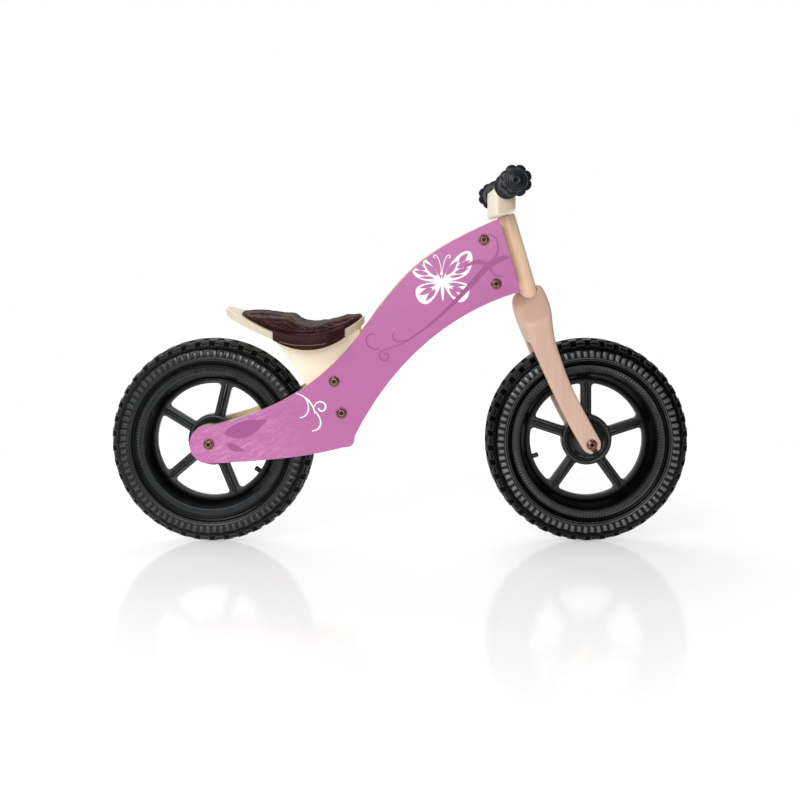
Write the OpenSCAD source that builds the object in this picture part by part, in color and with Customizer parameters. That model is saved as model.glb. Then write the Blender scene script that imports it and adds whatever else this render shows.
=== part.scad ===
// Wooden balance bike: two plywood side panels, a steered wooden fork, two
// spoked wheels with pneumatic tyres and a padded seat that slides in the frame.
// +X is forwards, +Y is the rider's left and +Z is up. The origin is on the
// ground, midway between the two axles.

/* [Layout] */
// Distance between the two axles
wheelbase = 557; // [540:1:570]
// Tilt of the steering axis, backwards from upright, in degrees
head_tilt = 16.4; // [15:0.1:18]
// Distance from the steering axis forwards to the front axle
fork_offset = 21; // [18:0.5:24]

/* [Wheels] */
// Radius of the tyre at the tread
tyre_radius = 151.5; // [149:0.5:154]
// Width of the tyre
tyre_width = 50; // [46:1:52]
// Radius of the rim flange that shows beside the tyre
flange_radius = 113; // [112:0.5:115]
// Number of spokes
spoke_count = 5; // [4:1:8]
// Width of a spoke
spoke_width = 15.5; // [12:0.5:20]
// Angle of one front spoke above straight ahead, in degrees
front_spoke_angle = 90; // [0:1:360]
// Angle of one rear spoke above straight ahead, in degrees
rear_spoke_angle = 76.5; // [0:0.5:360]

/* [Frame] */
// Thickness of a side panel
panel_thickness = 12; // [10:1:14]
// Clear width between the two side panels
panel_gap = 62; // [60:1:66]
// Outer diameter of the wooden head tube
head_tube_diameter = 28; // [26:1:30]

/* [Fork] */
// Clear width between the fork legs
fork_gap = 66; // [64:1:70]
// Thickness of a fork leg
leg_thickness = 14; // [12:1:16]
// Steepness of the crown's shoulders: drop for each millimetre outwards
shoulder_slope = 1.05; // [0.9:0.05:1.2]

/* [Handlebar] */
// Overall width over the grips
handlebar_width = 360; // [340:2:380]
// Diameter of the steel handlebar
bar_diameter = 22; // [20:1:23]
// Width of the wooden handle block
handle_block_width = 140; // [120:2:150]

/* [Seat] */
// Width of the bent seat board
seat_width = 140; // [120:2:150]
// Thickness of the bent seat board
seat_board_thickness = 9.5; // [8:0.5:11]
// Upward travel of the seat in its slots
seat_travel = 30; // [20:1:30]

/* [Hidden] */

$fn = 64;
running = 0.05;
curve_steps = 12;

// Colours
pink = "#c96fae";
pale_wood = "#f0dfc0";
fork_wood = "#d8b99f";
tube_wood = "#e3b283";
black_plastic = "#222326";
black_rubber = "#2b2d30";
bronze = "#8c5f50";
zinc = "#b9bcc0";
nylon = "#e9e9e4";
leather = "#3e282c";

// Wheels and axles
axle_z = tyre_radius;
rear_axle = [-wheelbase / 2, axle_z];
front_axle = [wheelbase / 2, axle_z];
carcass_radius = tyre_width / 2;
carcass_centre = tyre_radius - carcass_radius;
bead_radius = carcass_centre - carcass_radius;
bead_half = 18.8;
bead_gap_half = 12.8;
tube_radius = 20.5;
tube_wall = 1.5;
flange_half = 22;
web_half = 5;
web_inner = 84;
web_outer = 91.5;
hub_ring_radius = 37;
ring_half = 6;
hub_radius = 29;
hub_half = 28;
bearing_radius = 11;
bearing_width = 7;
axle_radius = 4;
sleeve_radius = 6;
nut_radius = axle_radius + 1.5;
sleeve_depth = 10;
valve_angle_front = 198;
valve_angle_rear = -35;
valve_radius = 3.2;
valve_tip = 75;
axial_gap = 0.1;

// Frame
panel_inner = panel_gap / 2;
panel_outer = panel_inner + panel_thickness;
tail_radius = 28.5;
panel_front = -14.8;
panel_top = 353.5;
panel_bottom = 242.3;
head_bolts_at = [[122, 449], [140, 385]];
seat_bolts_at = [[-95.9, 242.9], [-85.2, 197]];
head_size = 16;
head_height = 3;
socket_width = 6;

// Steering, in the tilted steering frame: z runs up the axis from the foot of
// the front axle, x points forwards
ridge_z = 243;
tube_bottom = 224;
tube_top = 353.2;
block_bottom = 355.5;
rod_bottom = 168;
rod_top = 381;
rod_radius = 5;
bush_radius = 9;
bush_length = 18;
bush_flange = 2;
bush_gap = 0.25;
crown_bottom = 166;
wheel_arch = 166;
leg_inner = fork_gap / 2;
leg_outer = leg_inner + leg_thickness;
leg_tip = 14;
dropout_angle = -61;
dropout_half = 3.5;
nut_height = 8;
nut_width = 18;
nut_well_radius = 11;
nut_inset = 11;

// Handle block and bar, in the upright frame
bar_at = [153, 525.5];
block_depth = 29;
block_foot = 460;
block_top = 526;
screw_foot = 494;
screw_radius = 2.5;
bar_radius = bar_diameter / 2;
bar_wall = 2;
bar_half = handlebar_width / 2 - 4;
grip_inner = handle_block_width / 2 + 0.8;
grip_outer = handlebar_width / 2;
flower_radius = 21.8;
flower_lobes = 8;
screw_y = 30;

// Seat
slide_lean = 13.1;
down = [sin(slide_lean), -cos(slide_lean)];
seat_arc_centre = [-134.6, 434.8];
seat_arc_radius = 137;
tail_start = -190;
seat_rear = -259;
seat_front = -53;
cheek_thickness = 12;
cheek_outer = panel_inner - 0.3;
cheek_inner = cheek_outer - cheek_thickness;
slot_radius = axle_radius + 0.2;
board_gap = 0.3;
skirt = 4;
seat_screws_at = [-150, -118];
seat_screw_foot = 284;
seat_screw_radius = 2;
seat_screw_lift = 0.6;

// ---------------------------------------------------------------- helpers

// Points of a cubic curve from a to d
function curve(a, b, c, d, n = curve_steps) = [
    for (i = [0:n]) let (t = i / n, u = 1 - t)
        u * u * u * a + 3 * u * u * t * b + 3 * u * t * t * c + t * t * t * d
];

// Points of an arc about a centre, between two angles
function arc(centre, r, a0, a1, n = curve_steps) = [
    for (i = [0:n]) let (a = a0 + (a1 - a0) * i / n)
        centre + r * [cos(a), sin(a)]
];

// Point of the tilted steering frame in the upright frame
function steered(p) = [
    front_axle[0] - fork_offset * cos(head_tilt) + p[0] * cos(head_tilt) - p[1] * sin(head_tilt),
    front_axle[1] - fork_offset * sin(head_tilt) + p[0] * sin(head_tilt) + p[1] * cos(head_tilt)
];

// Puts its children in the tilted steering frame
module steer() {
    foot = steered([0, 0]);
    translate([foot[0], 0, foot[1]]) rotate([0, -head_tilt, 0]) children();
}

// A side-view outline given thickness across the bike
module slab(y0, y1) {
    translate([0, y1, 0]) rotate([90, 0, 0]) linear_extrude(y1 - y0) children();
}

// A round bar across the bike
module bar(at, r, y0, y1) {
    translate([at[0], y0, at[1]]) rotate([-90, 0, 0]) cylinder(r = r, h = y1 - y0);
}

// A profile of radius and width turned about an axle
module turned(at) {
    translate([at[0], 0, at[1]]) rotate([-90, 0, 0]) rotate_extrude($fn = 96) children();
}

// Low furniture-bolt head with a hexagon socket, standing out from y = 0
module bolt_head() {
    rotate([90, 0, 0]) difference() {
        rotate_extrude() polygon([
            [0, 0], [head_size / 2, 0], [head_size / 2, 0.8], [head_size / 2 - 1.4, head_height],
            [0, head_height]
        ]);
        translate([0, 0, 1]) cylinder(d = socket_width, h = head_height, $fn = 6);
    }
}

// Bolt through the bike at a side-view point: head on the right-hand side
module through_bolt(at, half) {
    translate([at[0], -half, at[1]]) bolt_head();
    bar(at, axle_radius, -half, half - 1);
}

// Sleeve nut of a through bolt: the same head on the left-hand side
module sleeve_nut(at, half) {
    translate([at[0], half, at[1]]) rotate([0, 0, 180]) bolt_head();
    difference() {
        bar(at, nut_radius, half - sleeve_depth, half);
        bar(at, axle_radius, half - sleeve_depth - 1, half - 1);
    }
}

// ---------------------------------------------------------------- frame

// Side view of a panel: a round tail about the axle, a long S-curve along the
// top and the bottom, and a straight front edge beside the head tube
module panel_outline() {
    tail = arc(rear_axle, tail_radius, -78, -285);
    waist = [-35, 346];
    top = concat(
        curve([-271, 179.5], [-160, 205], [-93, 256], waist),
        curve(waist, [15, 410], [37, 433], steered([panel_front, panel_top]))
    );
    bottom = concat(
        curve(steered([panel_front, panel_bottom]), [83, 348], [-8, 280], [-66, 163]),
        arc([-78, 159], 12, 10, -80, 5),
        curve([-84, 146.5], [-147, 130], [-202, 128], [-272, 123.5])
    );
    polygon(concat(tail, top, bottom));
}

// A panel with a hole for each through bolt, or for its sleeve nut
module panel(y0, y1, hole_radius) {
    difference() {
        slab(y0, y1) panel_outline();
        for (at = concat(head_bolts_at, seat_bolts_at, [rear_axle]))
            bar(at, hole_radius, y0 - 1, y1 + 1);
    }
}

module panel_right() {
    color(pink) panel(-panel_outer, -panel_inner, axle_radius);
}

module panel_left() {
    color(pink) panel(panel_inner, panel_outer, nut_radius);
}

// Block between the panels that carries the head tube in a shallow groove
module head_block() {
    depth = 50;
    nose = 13.6;
    color(pale_wood) difference() {
        steer() translate([-nose - depth, -panel_inner, 250])
            cube([depth, panel_gap, 95]);
        steer() translate([0, 0, 240]) cylinder(d = head_tube_diameter, h = 120);
        for (at = head_bolts_at)
            bar(at, axle_radius, -panel_inner - 1, panel_inner + 1);
    }
}

module head_tube() {
    bore_radius = rod_radius + 2;
    color(tube_wood) steer() difference() {
        translate([0, 0, tube_bottom])
            cylinder(d = head_tube_diameter, h = tube_top - tube_bottom);
        translate([0, 0, tube_bottom - 1])
            cylinder(r = bore_radius, h = tube_top - tube_bottom + 2);
        translate([0, 0, tube_bottom - 1])
            cylinder(r = bush_radius, h = bush_length + 1);
        translate([0, 0, tube_top - bush_length])
            cylinder(r = bush_radius, h = bush_length + 1);
    }
}

// Flanged bush, its flange below z = 0 and its sleeve above
module bush() {
    difference() {
        union() {
            cylinder(r = bush_radius, h = bush_length);
            translate([0, 0, -bush_flange])
                cylinder(r = head_tube_diameter / 2 - 1, h = bush_flange);
        }
        translate([0, 0, -bush_flange - 1])
            cylinder(r = rod_radius + running, h = bush_length + bush_flange + 2);
    }
}

module head_bushes() {
    color(nylon) steer() {
        translate([0, 0, tube_bottom]) bush();
        translate([0, 0, tube_top]) mirror([0, 0, 1]) bush();
    }
}

module head_bolts() {
    color(bronze) for (at = head_bolts_at) through_bolt(at, panel_outer);
}

module head_nuts() {
    color(bronze) for (at = head_bolts_at) sleeve_nut(at, panel_outer);
}

module seat_bolts() {
    color(bronze) for (at = seat_bolts_at) through_bolt(at, panel_outer);
}

module seat_nuts() {
    color(bronze) for (at = seat_bolts_at) sleeve_nut(at, panel_outer);
}

// Tube between the bearings of a wheel
module axle_sleeve(at) {
    half = hub_half - bearing_width - axial_gap;
    difference() {
        bar(at, sleeve_radius, -half, half);
        bar(at, axle_radius, -half - 1, half + 1);
    }
}

// Spacers between the hub bearings and whatever carries the axle
module axle_spacers(at, outer) {
    inner = hub_half + axial_gap;
    for (side = [-1, 1])
        difference() {
            bar(at, sleeve_radius, min(side * inner, side * outer), max(side * inner, side * outer));
            bar(at, axle_radius, -outer - 1, outer + 1);
        }
}

module rear_axle_bolt() {
    color(bronze) through_bolt(rear_axle, panel_outer);
}

module rear_axle_nut() {
    color(bronze) sleeve_nut(rear_axle, panel_outer);
}

module rear_axle_sleeve() {
    color(zinc) axle_sleeve(rear_axle);
}

module rear_axle_spacers() {
    color(zinc) axle_spacers(rear_axle, panel_inner);
}

// ---------------------------------------------------------------- seat

// Side view of the bent board, or of a strip between two levels measured
// upwards from the underside of the board
function board_line(level, x0, x1) = let (
    r = seat_arc_radius - level,
    c = seat_arc_centre,
    tilt = asin((c[0] - tail_start) / seat_arc_radius),
    joint = c - r * [sin(tilt), cos(tilt)],
    a0 = x0 < joint[0] ? -90 - tilt : -90 - asin((c[0] - x0) / r),
    a1 = -90 + asin((x1 - c[0]) / r)
) concat(
    x0 < joint[0] ? [[x0, joint[1] + (joint[0] - x0) * tan(tilt)]] : [],
    arc(c, r, a0, a1)
);

function reversed(points) = [for (i = [len(points) - 1:-1:0]) points[i]];

module board_outline(low, high, x0, x1) {
    polygon(concat(board_line(low, x0, x1), reversed(board_line(high, x0, x1))));
}

// Top view of the seat board, straight in the middle and round at both ends
module seat_plan(half, x0, x1) {
    end_length = 62;
    polygon(concat(
        [for (i = [0:2 * curve_steps]) let (a = -90 + 90 * i / curve_steps)
            [x1 - end_length + end_length * cos(a), half * sin(a)]],
        [for (i = [0:2 * curve_steps]) let (a = 90 + 90 * i / curve_steps)
            [x0 + end_length + end_length * cos(a), half * sin(a)]]
    ));
}

module seat_board() {
    color(pale_wood) difference() {
        intersection() {
            slab(-seat_width / 2, seat_width / 2)
                board_outline(0, seat_board_thickness, seat_rear, seat_front);
            translate([0, 0, 250]) linear_extrude(150)
                seat_plan(seat_width / 2, seat_rear, seat_front);
        }
        for (x = seat_screws_at)
            translate([x, 0, seat_screw_foot]) cylinder(r = seat_screw_radius, h = 60);
    }
}

// Pad on top of the board, with a skirt that wraps the board's long edges
module seat_cushion() {
    rear = -236;
    front = -57;
    waist = [-134, 331];
    color(leather) difference() {
        intersection() {
            slab(-seat_width / 2 - skirt, seat_width / 2 + skirt) polygon(concat(
                board_line(0, rear, -180),
                curve([-180, 305.5], [-162, 287], [-105, 281], [-76, 311]),
                board_line(0, -72, front),
                curve([front, 337], [-75, 345], [-105, 332], waist),
                curve(waist, [-165, 332], [-195, 350], [rear, 343])
            ));
            translate([0, 0, 250]) linear_extrude(150)
                seat_plan(seat_width / 2 + skirt, rear, front);
        }
        slab(-seat_width / 2, seat_width / 2)
            board_outline(-12, seat_board_thickness + board_gap, rear - 5, front + 5);
        for (x = seat_screws_at)
            translate([x, 0, seat_screw_foot])
                cylinder(r = 2 * seat_screw_radius + 0.3, h = board_top(x) + 2.9 - seat_screw_foot);
    }
}

// Height of the top of the board, in its round stretch
function board_top(x) = seat_arc_centre[1]
    - sqrt(pow(seat_arc_radius - seat_board_thickness, 2) - pow(x - seat_arc_centre[0], 2));

// Side view of a seat cheek: its top follows the board, its rear edge clears
// the rear tyre, and its foot reaches down between the panels
module cheek_outline() {
    top = board_line(-board_gap, -186, -60);
    foot = seat_bolts_at[1] + seat_travel * down;
    polygon(concat(
        top,
        [[-50, 262], foot + [12, 6]],
        arc(foot, 11.5, 0, -180, 8),
        [[-120, 212]],
        curve([-130.7, 223.6], [-140, 243], [-157, 270], [-185, 303])
    ));
}

module cheek(y0, y1) {
    difference() {
        slab(y0, y1) cheek_outline();
        for (at = seat_bolts_at)
            slab(y0 - 1, y1 + 1) polygon(concat(
                arc(at, slot_radius, slide_lean, slide_lean + 180),
                arc(at + seat_travel * down, slot_radius, slide_lean + 180, slide_lean + 360)
            ));
    }
}

module seat_cheek_right() {
    color(pale_wood) cheek(-cheek_outer, -cheek_inner);
}

module seat_cheek_left() {
    color(pale_wood) cheek(cheek_inner, cheek_outer);
}

// Block between the cheeks that the board is screwed to
module seat_block() {
    x0 = -164;
    x1 = -100;
    color(pale_wood) difference() {
        slab(-cheek_inner, cheek_inner)
            polygon(concat(board_line(-board_gap, x0, x1), [[x1, 276], [x0, 276]]));
        for (x = seat_screws_at)
            translate([x, 0, seat_screw_foot]) cylinder(r = seat_screw_radius, h = 60);
    }
}

module seat_screws() {
    color(zinc) for (x = seat_screws_at) {
        head = board_top(x) + seat_screw_lift;
        translate([x, 0, seat_screw_foot]) cylinder(r = seat_screw_radius, h = head - seat_screw_foot);
        translate([x, 0, head]) cylinder(r = 2 * seat_screw_radius, h = 2);
    }
}

// ---------------------------------------------------------------- steering

module steering_rod() {
    color(zinc) steer() translate([0, 0, rod_bottom])
        cylinder(r = rod_radius, h = rod_top - rod_bottom);
}

module rod_nut() {
    difference() {
        union() {
            cylinder(d = nut_width, h = nut_height, $fn = 6);
            cylinder(d = nut_width + 2, h = 1.5);
        }
        translate([0, 0, -1]) cylinder(r = rod_radius, h = nut_height + 2);
    }
}

module rod_nuts() {
    color(zinc) steer() {
        translate([0, 0, rod_bottom + nut_inset]) mirror([0, 0, 1]) rod_nut();
        translate([0, 0, rod_top - nut_inset]) rod_nut();
    }
}

// Upright block with a bottom square to the steering axis, a groove for the
// bar along its top and a bore for the rod
module handle_block() {
    half = handle_block_width / 2;
    rear = bar_at[0] - block_depth / 2 - 1.5;
    color(pale_wood) difference() {
        slab(-half, half) translate([rear, block_foot]) square([block_depth, block_top - block_foot]);
        steer() translate([-60, -half - 1, block_bottom - 60])
            cube([120, handle_block_width + 2, 60]);
        bar(bar_at, bar_radius, -half - 1, half + 1);
        steer() {
            translate([0, 0, 340]) cylinder(r = rod_radius, h = 60);
            translate([0, 0, rod_top - nut_inset]) cylinder(r = nut_well_radius, h = 60);
        }
        for (y = [-screw_y, screw_y])
            translate([bar_at[0], y, screw_foot]) cylinder(r = screw_radius, h = 60);
    }
}

module handlebar() {
    color(black_plastic) difference() {
        bar(bar_at, bar_radius, -bar_half, bar_half);
        bar(bar_at, bar_radius - bar_wall, -bar_half - 1, bar_half + 1);
        for (y = [-screw_y, screw_y])
            translate([bar_at[0], y, screw_foot]) cylinder(r = screw_radius, h = 60);
    }
}

module handlebar_screws() {
    top = bar_at[1] + bar_radius;
    color(bronze) for (y = [-screw_y, screw_y]) translate([bar_at[0], y, 0]) {
        translate([0, 0, screw_foot]) cylinder(r = screw_radius, h = top - screw_foot);
        translate([0, 0, top]) cylinder(r = screw_radius + 2, h = 2.5);
    }
}

// Rubber grip: a round inner flange, a ribbed body, a scalloped outer flange
// and a domed end with a vent hole. It is drawn for the right-hand side
module grip() {
    ribs = 9;
    body_radius = 14.5;
    lobe_radius = 4.5;
    vent_radius = 1.5;
    inner = -grip_inner;
    outer = -grip_outer;
    rib_pitch = (grip_outer - grip_inner - 22) / ribs;
    difference() {
        union() {
            bar(bar_at, 18.8, inner - 4, inner);
            bar(bar_at, body_radius, outer + 5, inner - 3);
            for (i = [1:ribs])
                bar(bar_at, body_radius + 1.2, inner - 5 - i * rib_pitch, inner - 5 - (i - 0.5) * rib_pitch);
            // scalloped flange: a disc with a round lobe at each point
            bar(bar_at, flower_radius - 3, outer + 5, outer + 12);
            for (i = [0:flower_lobes - 1]) let (turn = i * 360 / flower_lobes)
                bar(bar_at + (flower_radius - lobe_radius) * [cos(turn), sin(turn)], lobe_radius,
                    outer + 5, outer + 12);
            bar(bar_at, 12.5, outer + 2.5, outer + 6);
            bar(bar_at, 9, outer, outer + 3);
        }
        bar(bar_at, bar_radius, outer + 4, inner + 1);
        bar(bar_at, vent_radius, outer - 1, outer + 5);
    }
}

module grip_right() {
    color(black_rubber) grip();
}

module grip_left() {
    color(black_rubber) mirror([0, 1, 0]) grip();
}

// Side view of the fork, in the steering frame: wide around the head tube,
// narrowing and curving forwards to a round tip at the axle
module fork_outline() {
    axle = [fork_offset, 0];
    polygon(concat(
        [[24, 243.5], [-21, 239.5]],
        curve([-25, 235], [-30, 228], [-28, 212], [-25, 190], 6),
        curve([-25, 188], [-18, 130], [-10, 59], [7.5, -4]),
        arc(axle, leg_tip, 196, 372),
        curve([34.7, 3], [20.7, 62], [7, 127], [18, 187]),
        curve([18, 187], [22, 200], [24, 204], [24.5, 216], 6)
    ));
}

// Front view of the fork: a roof that falls to both sides from a ridge
module roof(z0) {
    drop = shoulder_slope * leg_outer;
    translate([-60, 0, 0]) rotate([90, 0, 90]) linear_extrude(120) polygon([
        [-leg_outer, z0], [leg_outer, z0], [leg_outer, ridge_z + 1 - drop],
        [0, ridge_z + 1], [-leg_outer, ridge_z + 1 - drop]
    ]);
}

module fork_leg(y0, y1, hole_radius) {
    steer() difference() {
        intersection() {
            slab(y0, y1) fork_outline();
            roof(-30);
        }
        bar([fork_offset, 0], hole_radius, y0 - 1, y1 + 1);
        // open slot from the axle down to the edge of the tip
        slab(y0 - 1, y1 + 1) translate([fork_offset, 0]) rotate(dropout_angle - head_tilt)
            translate([0, -dropout_half]) square([30, 2 * dropout_half]);
    }
}

module fork_leg_right() {
    color(fork_wood) fork_leg(-leg_outer, -leg_inner, axle_radius);
}

module fork_leg_left() {
    color(fork_wood) fork_leg(leg_inner, leg_outer, nut_radius);
}

module fork_crown() {
    color(fork_wood) steer() difference() {
        intersection() {
            slab(-leg_inner, leg_inner) fork_outline();
            roof(crown_bottom - 10);
        }
        // arch over the tyre
        bar([fork_offset, 0], wheel_arch, -leg_inner - 1, leg_inner + 1);
        // recess that the head tube stands in, the rod's bore and its nut
        translate([0, 0, tube_bottom - bush_flange - bush_gap])
            cylinder(r = head_tube_diameter / 2 + 0.4, h = 60);
        cylinder(r = rod_radius, h = 300);
        cylinder(r = nut_well_radius, h = rod_bottom + nut_inset);
    }
}

module front_axle_bolt() {
    color(bronze) through_bolt(front_axle, leg_outer);
}

module front_axle_nut() {
    color(bronze) sleeve_nut(front_axle, leg_outer);
}

module front_axle_sleeve() {
    color(zinc) axle_sleeve(front_axle);
}

module front_axle_spacers() {
    color(zinc) axle_spacers(front_axle, leg_inner);
}

// ---------------------------------------------------------------- wheels

// Tyre: a round section over two square beads, hollow for its inner tube
module tyre(at) {
    bead_depth = 15;
    color(black_rubber) turned(at) difference() {
        union() {
            translate([carcass_centre, 0]) circle(r = carcass_radius);
            translate([bead_radius, -bead_half]) square([bead_depth, 2 * bead_half]);
        }
        translate([carcass_centre, 0]) circle(r = tube_radius + 0.3);
        translate([bead_radius - 1, -bead_gap_half]) square([20, 2 * bead_gap_half]);
        // the beads sit between the flanges of the rim
        for (y = [-bead_half - 10, bead_half])
            translate([bead_radius - 1, y]) square([flange_radius - bead_radius + 1.2, 10]);
    }
}

module inner_tube(at) {
    color(black_rubber) turned(at) difference() {
        translate([carcass_centre, 0]) circle(r = tube_radius);
        translate([carcass_centre, 0]) circle(r = tube_radius - tube_wall);
    }
}

// Section of the rim: a channel for the tyre between two flanges, coned sides
// and a thin web ring that the spokes run into
module rim_section() {
    bed = 95;
    half = [
        [bed, 7], [bead_radius, bead_gap_half], [bead_radius, bead_half], [flange_radius, bead_half],
        [flange_radius, flange_half], [bead_radius - 0.5, flange_half], [web_outer, web_half],
        [web_inner, web_half]
    ];
    polygon(concat(half, [for (p = reversed(half)) [p[0], -p[1]]]));
}

// The ring of the rim, with its valve hole
module rim(at, valve_angle) {
    color(black_plastic) difference() {
        turned(at) rim_section();
        translate([at[0], 0, at[1]]) rotate([0, 90 - valve_angle, 0])
            translate([0, 0, web_inner - 4]) cylinder(r = valve_radius + 0.8, h = 30);
    }
}

// Hub: a ring that the spokes meet, and a dome that rises to the bearings
module hub(at) {
    collar = 16;
    color(black_plastic) difference() {
        turned(at) polygon([
            [0, -hub_half], [collar, -hub_half], [hub_radius - 4, -19], [hub_radius, -9],
            [hub_radius + 2, -ring_half], [hub_ring_radius, -ring_half],
            [hub_ring_radius, ring_half], [hub_radius + 2, ring_half],
            [hub_radius, 9], [hub_radius - 4, 19], [collar, hub_half], [0, hub_half]
        ]);
        bar(at, bearing_radius, -hub_half - 1, -hub_half + bearing_width);
        bar(at, bearing_radius, hub_half - bearing_width, hub_half + 1);
        bar(at, sleeve_radius + 2, -hub_half, hub_half);
    }
}

// Spokes with a raised crest on both faces, from the hub ring to the rim
module spokes(at, spoke_angle) {
    crest = 8;
    edge = 4;
    color(black_plastic) difference() {
        intersection() {
            bar(at, web_inner, -crest - 1, crest + 1);
            for (i = [0:spoke_count - 1])
                translate([at[0], 0, at[1]])
                    rotate([0, 90 - spoke_angle - i * 360 / spoke_count, 0])
                    translate([0, 0, hub_ring_radius - 8]) linear_extrude(web_inner) polygon([
                        [-spoke_width / 2, -edge], [0, -crest], [spoke_width / 2, -edge],
                        [spoke_width / 2, edge], [0, crest], [-spoke_width / 2, edge]
                    ]);
        }
        bar(at, hub_ring_radius, -crest - 2, crest + 2);
    }
}

module bearings(at) {
    color(zinc) for (side = [-1, 1]) {
        y0 = side < 0 ? -hub_half : hub_half - bearing_width;
        difference() {
            bar(at, bearing_radius, y0, y0 + bearing_width);
            bar(at, axle_radius + running, y0 - 1, y0 + bearing_width + 1);
        }
    }
}

module valve(at, angle) {
    color(black_rubber) translate([at[0], 0, at[1]]) rotate([0, 90 - angle, 0])
        translate([0, 0, valve_tip + 8])
            cylinder(r = valve_radius, h = carcass_centre - tube_radius - valve_tip - 8);
}

module valve_cap(at, angle) {
    color(black_plastic) translate([at[0], 0, at[1]]) rotate([0, 90 - angle, 0])
        translate([0, 0, valve_tip]) cylinder(r = valve_radius + 0.8, h = 8);
}

module front_tyre() {
    tyre(front_axle);
}

module front_inner_tube() {
    inner_tube(front_axle);
}

module front_rim() {
    rim(front_axle, valve_angle_front);
}

module front_spokes() {
    spokes(front_axle, front_spoke_angle);
}

module front_hub() {
    hub(front_axle);
}

module front_bearings() {
    bearings(front_axle);
}

module front_valve() {
    valve(front_axle, valve_angle_front);
}

module front_valve_cap() {
    valve_cap(front_axle, valve_angle_front);
}

module rear_tyre() {
    tyre(rear_axle);
}

module rear_inner_tube() {
    inner_tube(rear_axle);
}

module rear_rim() {
    rim(rear_axle, valve_angle_rear);
}

module rear_spokes() {
    spokes(rear_axle, rear_spoke_angle);
}

module rear_hub() {
    hub(rear_axle);
}

module rear_bearings() {
    bearings(rear_axle);
}

module rear_valve() {
    valve(rear_axle, valve_angle_rear);
}

module rear_valve_cap() {
    valve_cap(rear_axle, valve_angle_rear);
}

panel_right();
panel_left();
head_block();
head_tube();
head_bushes();
head_bolts();
head_nuts();
seat_bolts();
seat_nuts();
rear_axle_bolt();
rear_axle_nut();
rear_axle_sleeve();
rear_axle_spacers();
seat_cheek_right();
seat_cheek_left();
seat_block();
seat_board();
seat_cushion();
seat_screws();
steering_rod();
rod_nuts();
handle_block();
handlebar();
handlebar_screws();
grip_right();
grip_left();
fork_crown();
fork_leg_right();
fork_leg_left();
front_axle_bolt();
front_axle_nut();
front_axle_sleeve();
front_axle_spacers();
front_tyre();
front_inner_tube();
front_rim();
front_spokes();
front_hub();
front_bearings();
front_valve();
front_valve_cap();
rear_tyre();
rear_inner_tube();
rear_rim();
rear_spokes();
rear_hub();
rear_bearings();
rear_valve();
rear_valve_cap();
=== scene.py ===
"""Looks of the wooden balance bike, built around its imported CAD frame.

Lengths in this script are in millimetres until a mesh is made, which turns them
into metres. +X is forwards, +Y the rider's left and +Z up.
"""
import math

import bmesh
import bpy
from mathutils import Matrix, Vector, noise
from mathutils.bvhtree import BVHTree


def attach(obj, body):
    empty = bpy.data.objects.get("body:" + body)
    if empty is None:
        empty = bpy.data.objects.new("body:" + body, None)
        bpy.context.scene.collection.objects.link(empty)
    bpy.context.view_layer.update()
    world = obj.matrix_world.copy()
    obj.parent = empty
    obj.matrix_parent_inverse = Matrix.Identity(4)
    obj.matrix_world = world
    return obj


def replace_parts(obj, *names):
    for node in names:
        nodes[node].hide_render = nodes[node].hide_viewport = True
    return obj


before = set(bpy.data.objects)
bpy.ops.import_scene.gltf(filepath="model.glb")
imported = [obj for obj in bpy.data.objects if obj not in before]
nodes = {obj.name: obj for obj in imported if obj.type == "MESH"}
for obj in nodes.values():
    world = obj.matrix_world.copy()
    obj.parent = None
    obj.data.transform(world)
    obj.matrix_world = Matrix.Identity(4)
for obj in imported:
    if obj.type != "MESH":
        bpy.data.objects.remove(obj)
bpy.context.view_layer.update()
scene = bpy.context.scene

MM = 0.001
PANEL_FACE = 43.0                 # outer faces of the panels, from the middle plane
FORK_FACE = 47.0                  # outer faces of the fork's legs
FRONT_AXLE = (278.5, 151.5)       # points of the side view are (x, z)
REAR_AXLE = (-278.5, 151.5)
HEAD_TILT = math.radians(16.4)
STEERING_FOOT = (FRONT_AXLE[0] - 21 * math.cos(HEAD_TILT), FRONT_AXLE[1] - 21 * math.sin(HEAD_TILT))
BAR = (153.0, 525.5)
SEAT_ARC = (-134.6, 434.8)        # the seat board bends about this point
SEAT_ARC_RADIUS = 137.0           # to its underside
SEAT_TAIL = -190.0                # behind this x the board is straight
SEAT_TILT = math.asin((SEAT_ARC[0] - SEAT_TAIL) / SEAT_ARC_RADIUS)
BOARD = 9.5                       # thickness of the seat board
BOARD_HALF = 70.0                 # half of its width


# ------------------------------------------------------------------ shapes

def smooth_step(x, low, high):
    """0 below low, 1 above high and a smooth rise between."""
    t = min(1.0, max(0.0, (x - low) / (high - low)))
    return t * t * (3 - 2 * t)


def band(x, low, high, soft):
    """1 between low and high, falling to 0 over the soft distance outside."""
    return smooth_step(x, low - soft, low) * (1 - smooth_step(x, high, high + soft))


def cubic(a, b, c, d, count):
    """Points along a cubic curve, both ends included."""
    def at(t):
        u = 1 - t
        return tuple(u * u * u * p + 3 * u * u * t * q + 3 * u * t * t * r + t * t * t * s
                     for p, q, r, s in zip(a, b, c, d))
    return [at(i / count) for i in range(count + 1)]


def on_circle(radius, angle, centre=(0, 0)):
    """A point of the side view at an angle in degrees."""
    return (centre[0] + radius * math.cos(math.radians(angle)),
            centre[1] + radius * math.sin(math.radians(angle)))


def chain(start, *pieces):
    """Cubic curves one after another, each given as two handles, its end and a count."""
    points = [start]
    for first, second, end, count in pieces:
        points += cubic(points[-1], first, second, end, count)[1:]
    return points


def arc(centre, radius, start, end, count, end_radius=None):
    """Points along an arc, or along a spiral if its end has another radius."""
    change = (radius if end_radius is None else end_radius) - radius
    return [on_circle(radius + change * i / count, start + (end - start) * i / count, centre)
            for i in range(count + 1)]


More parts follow.
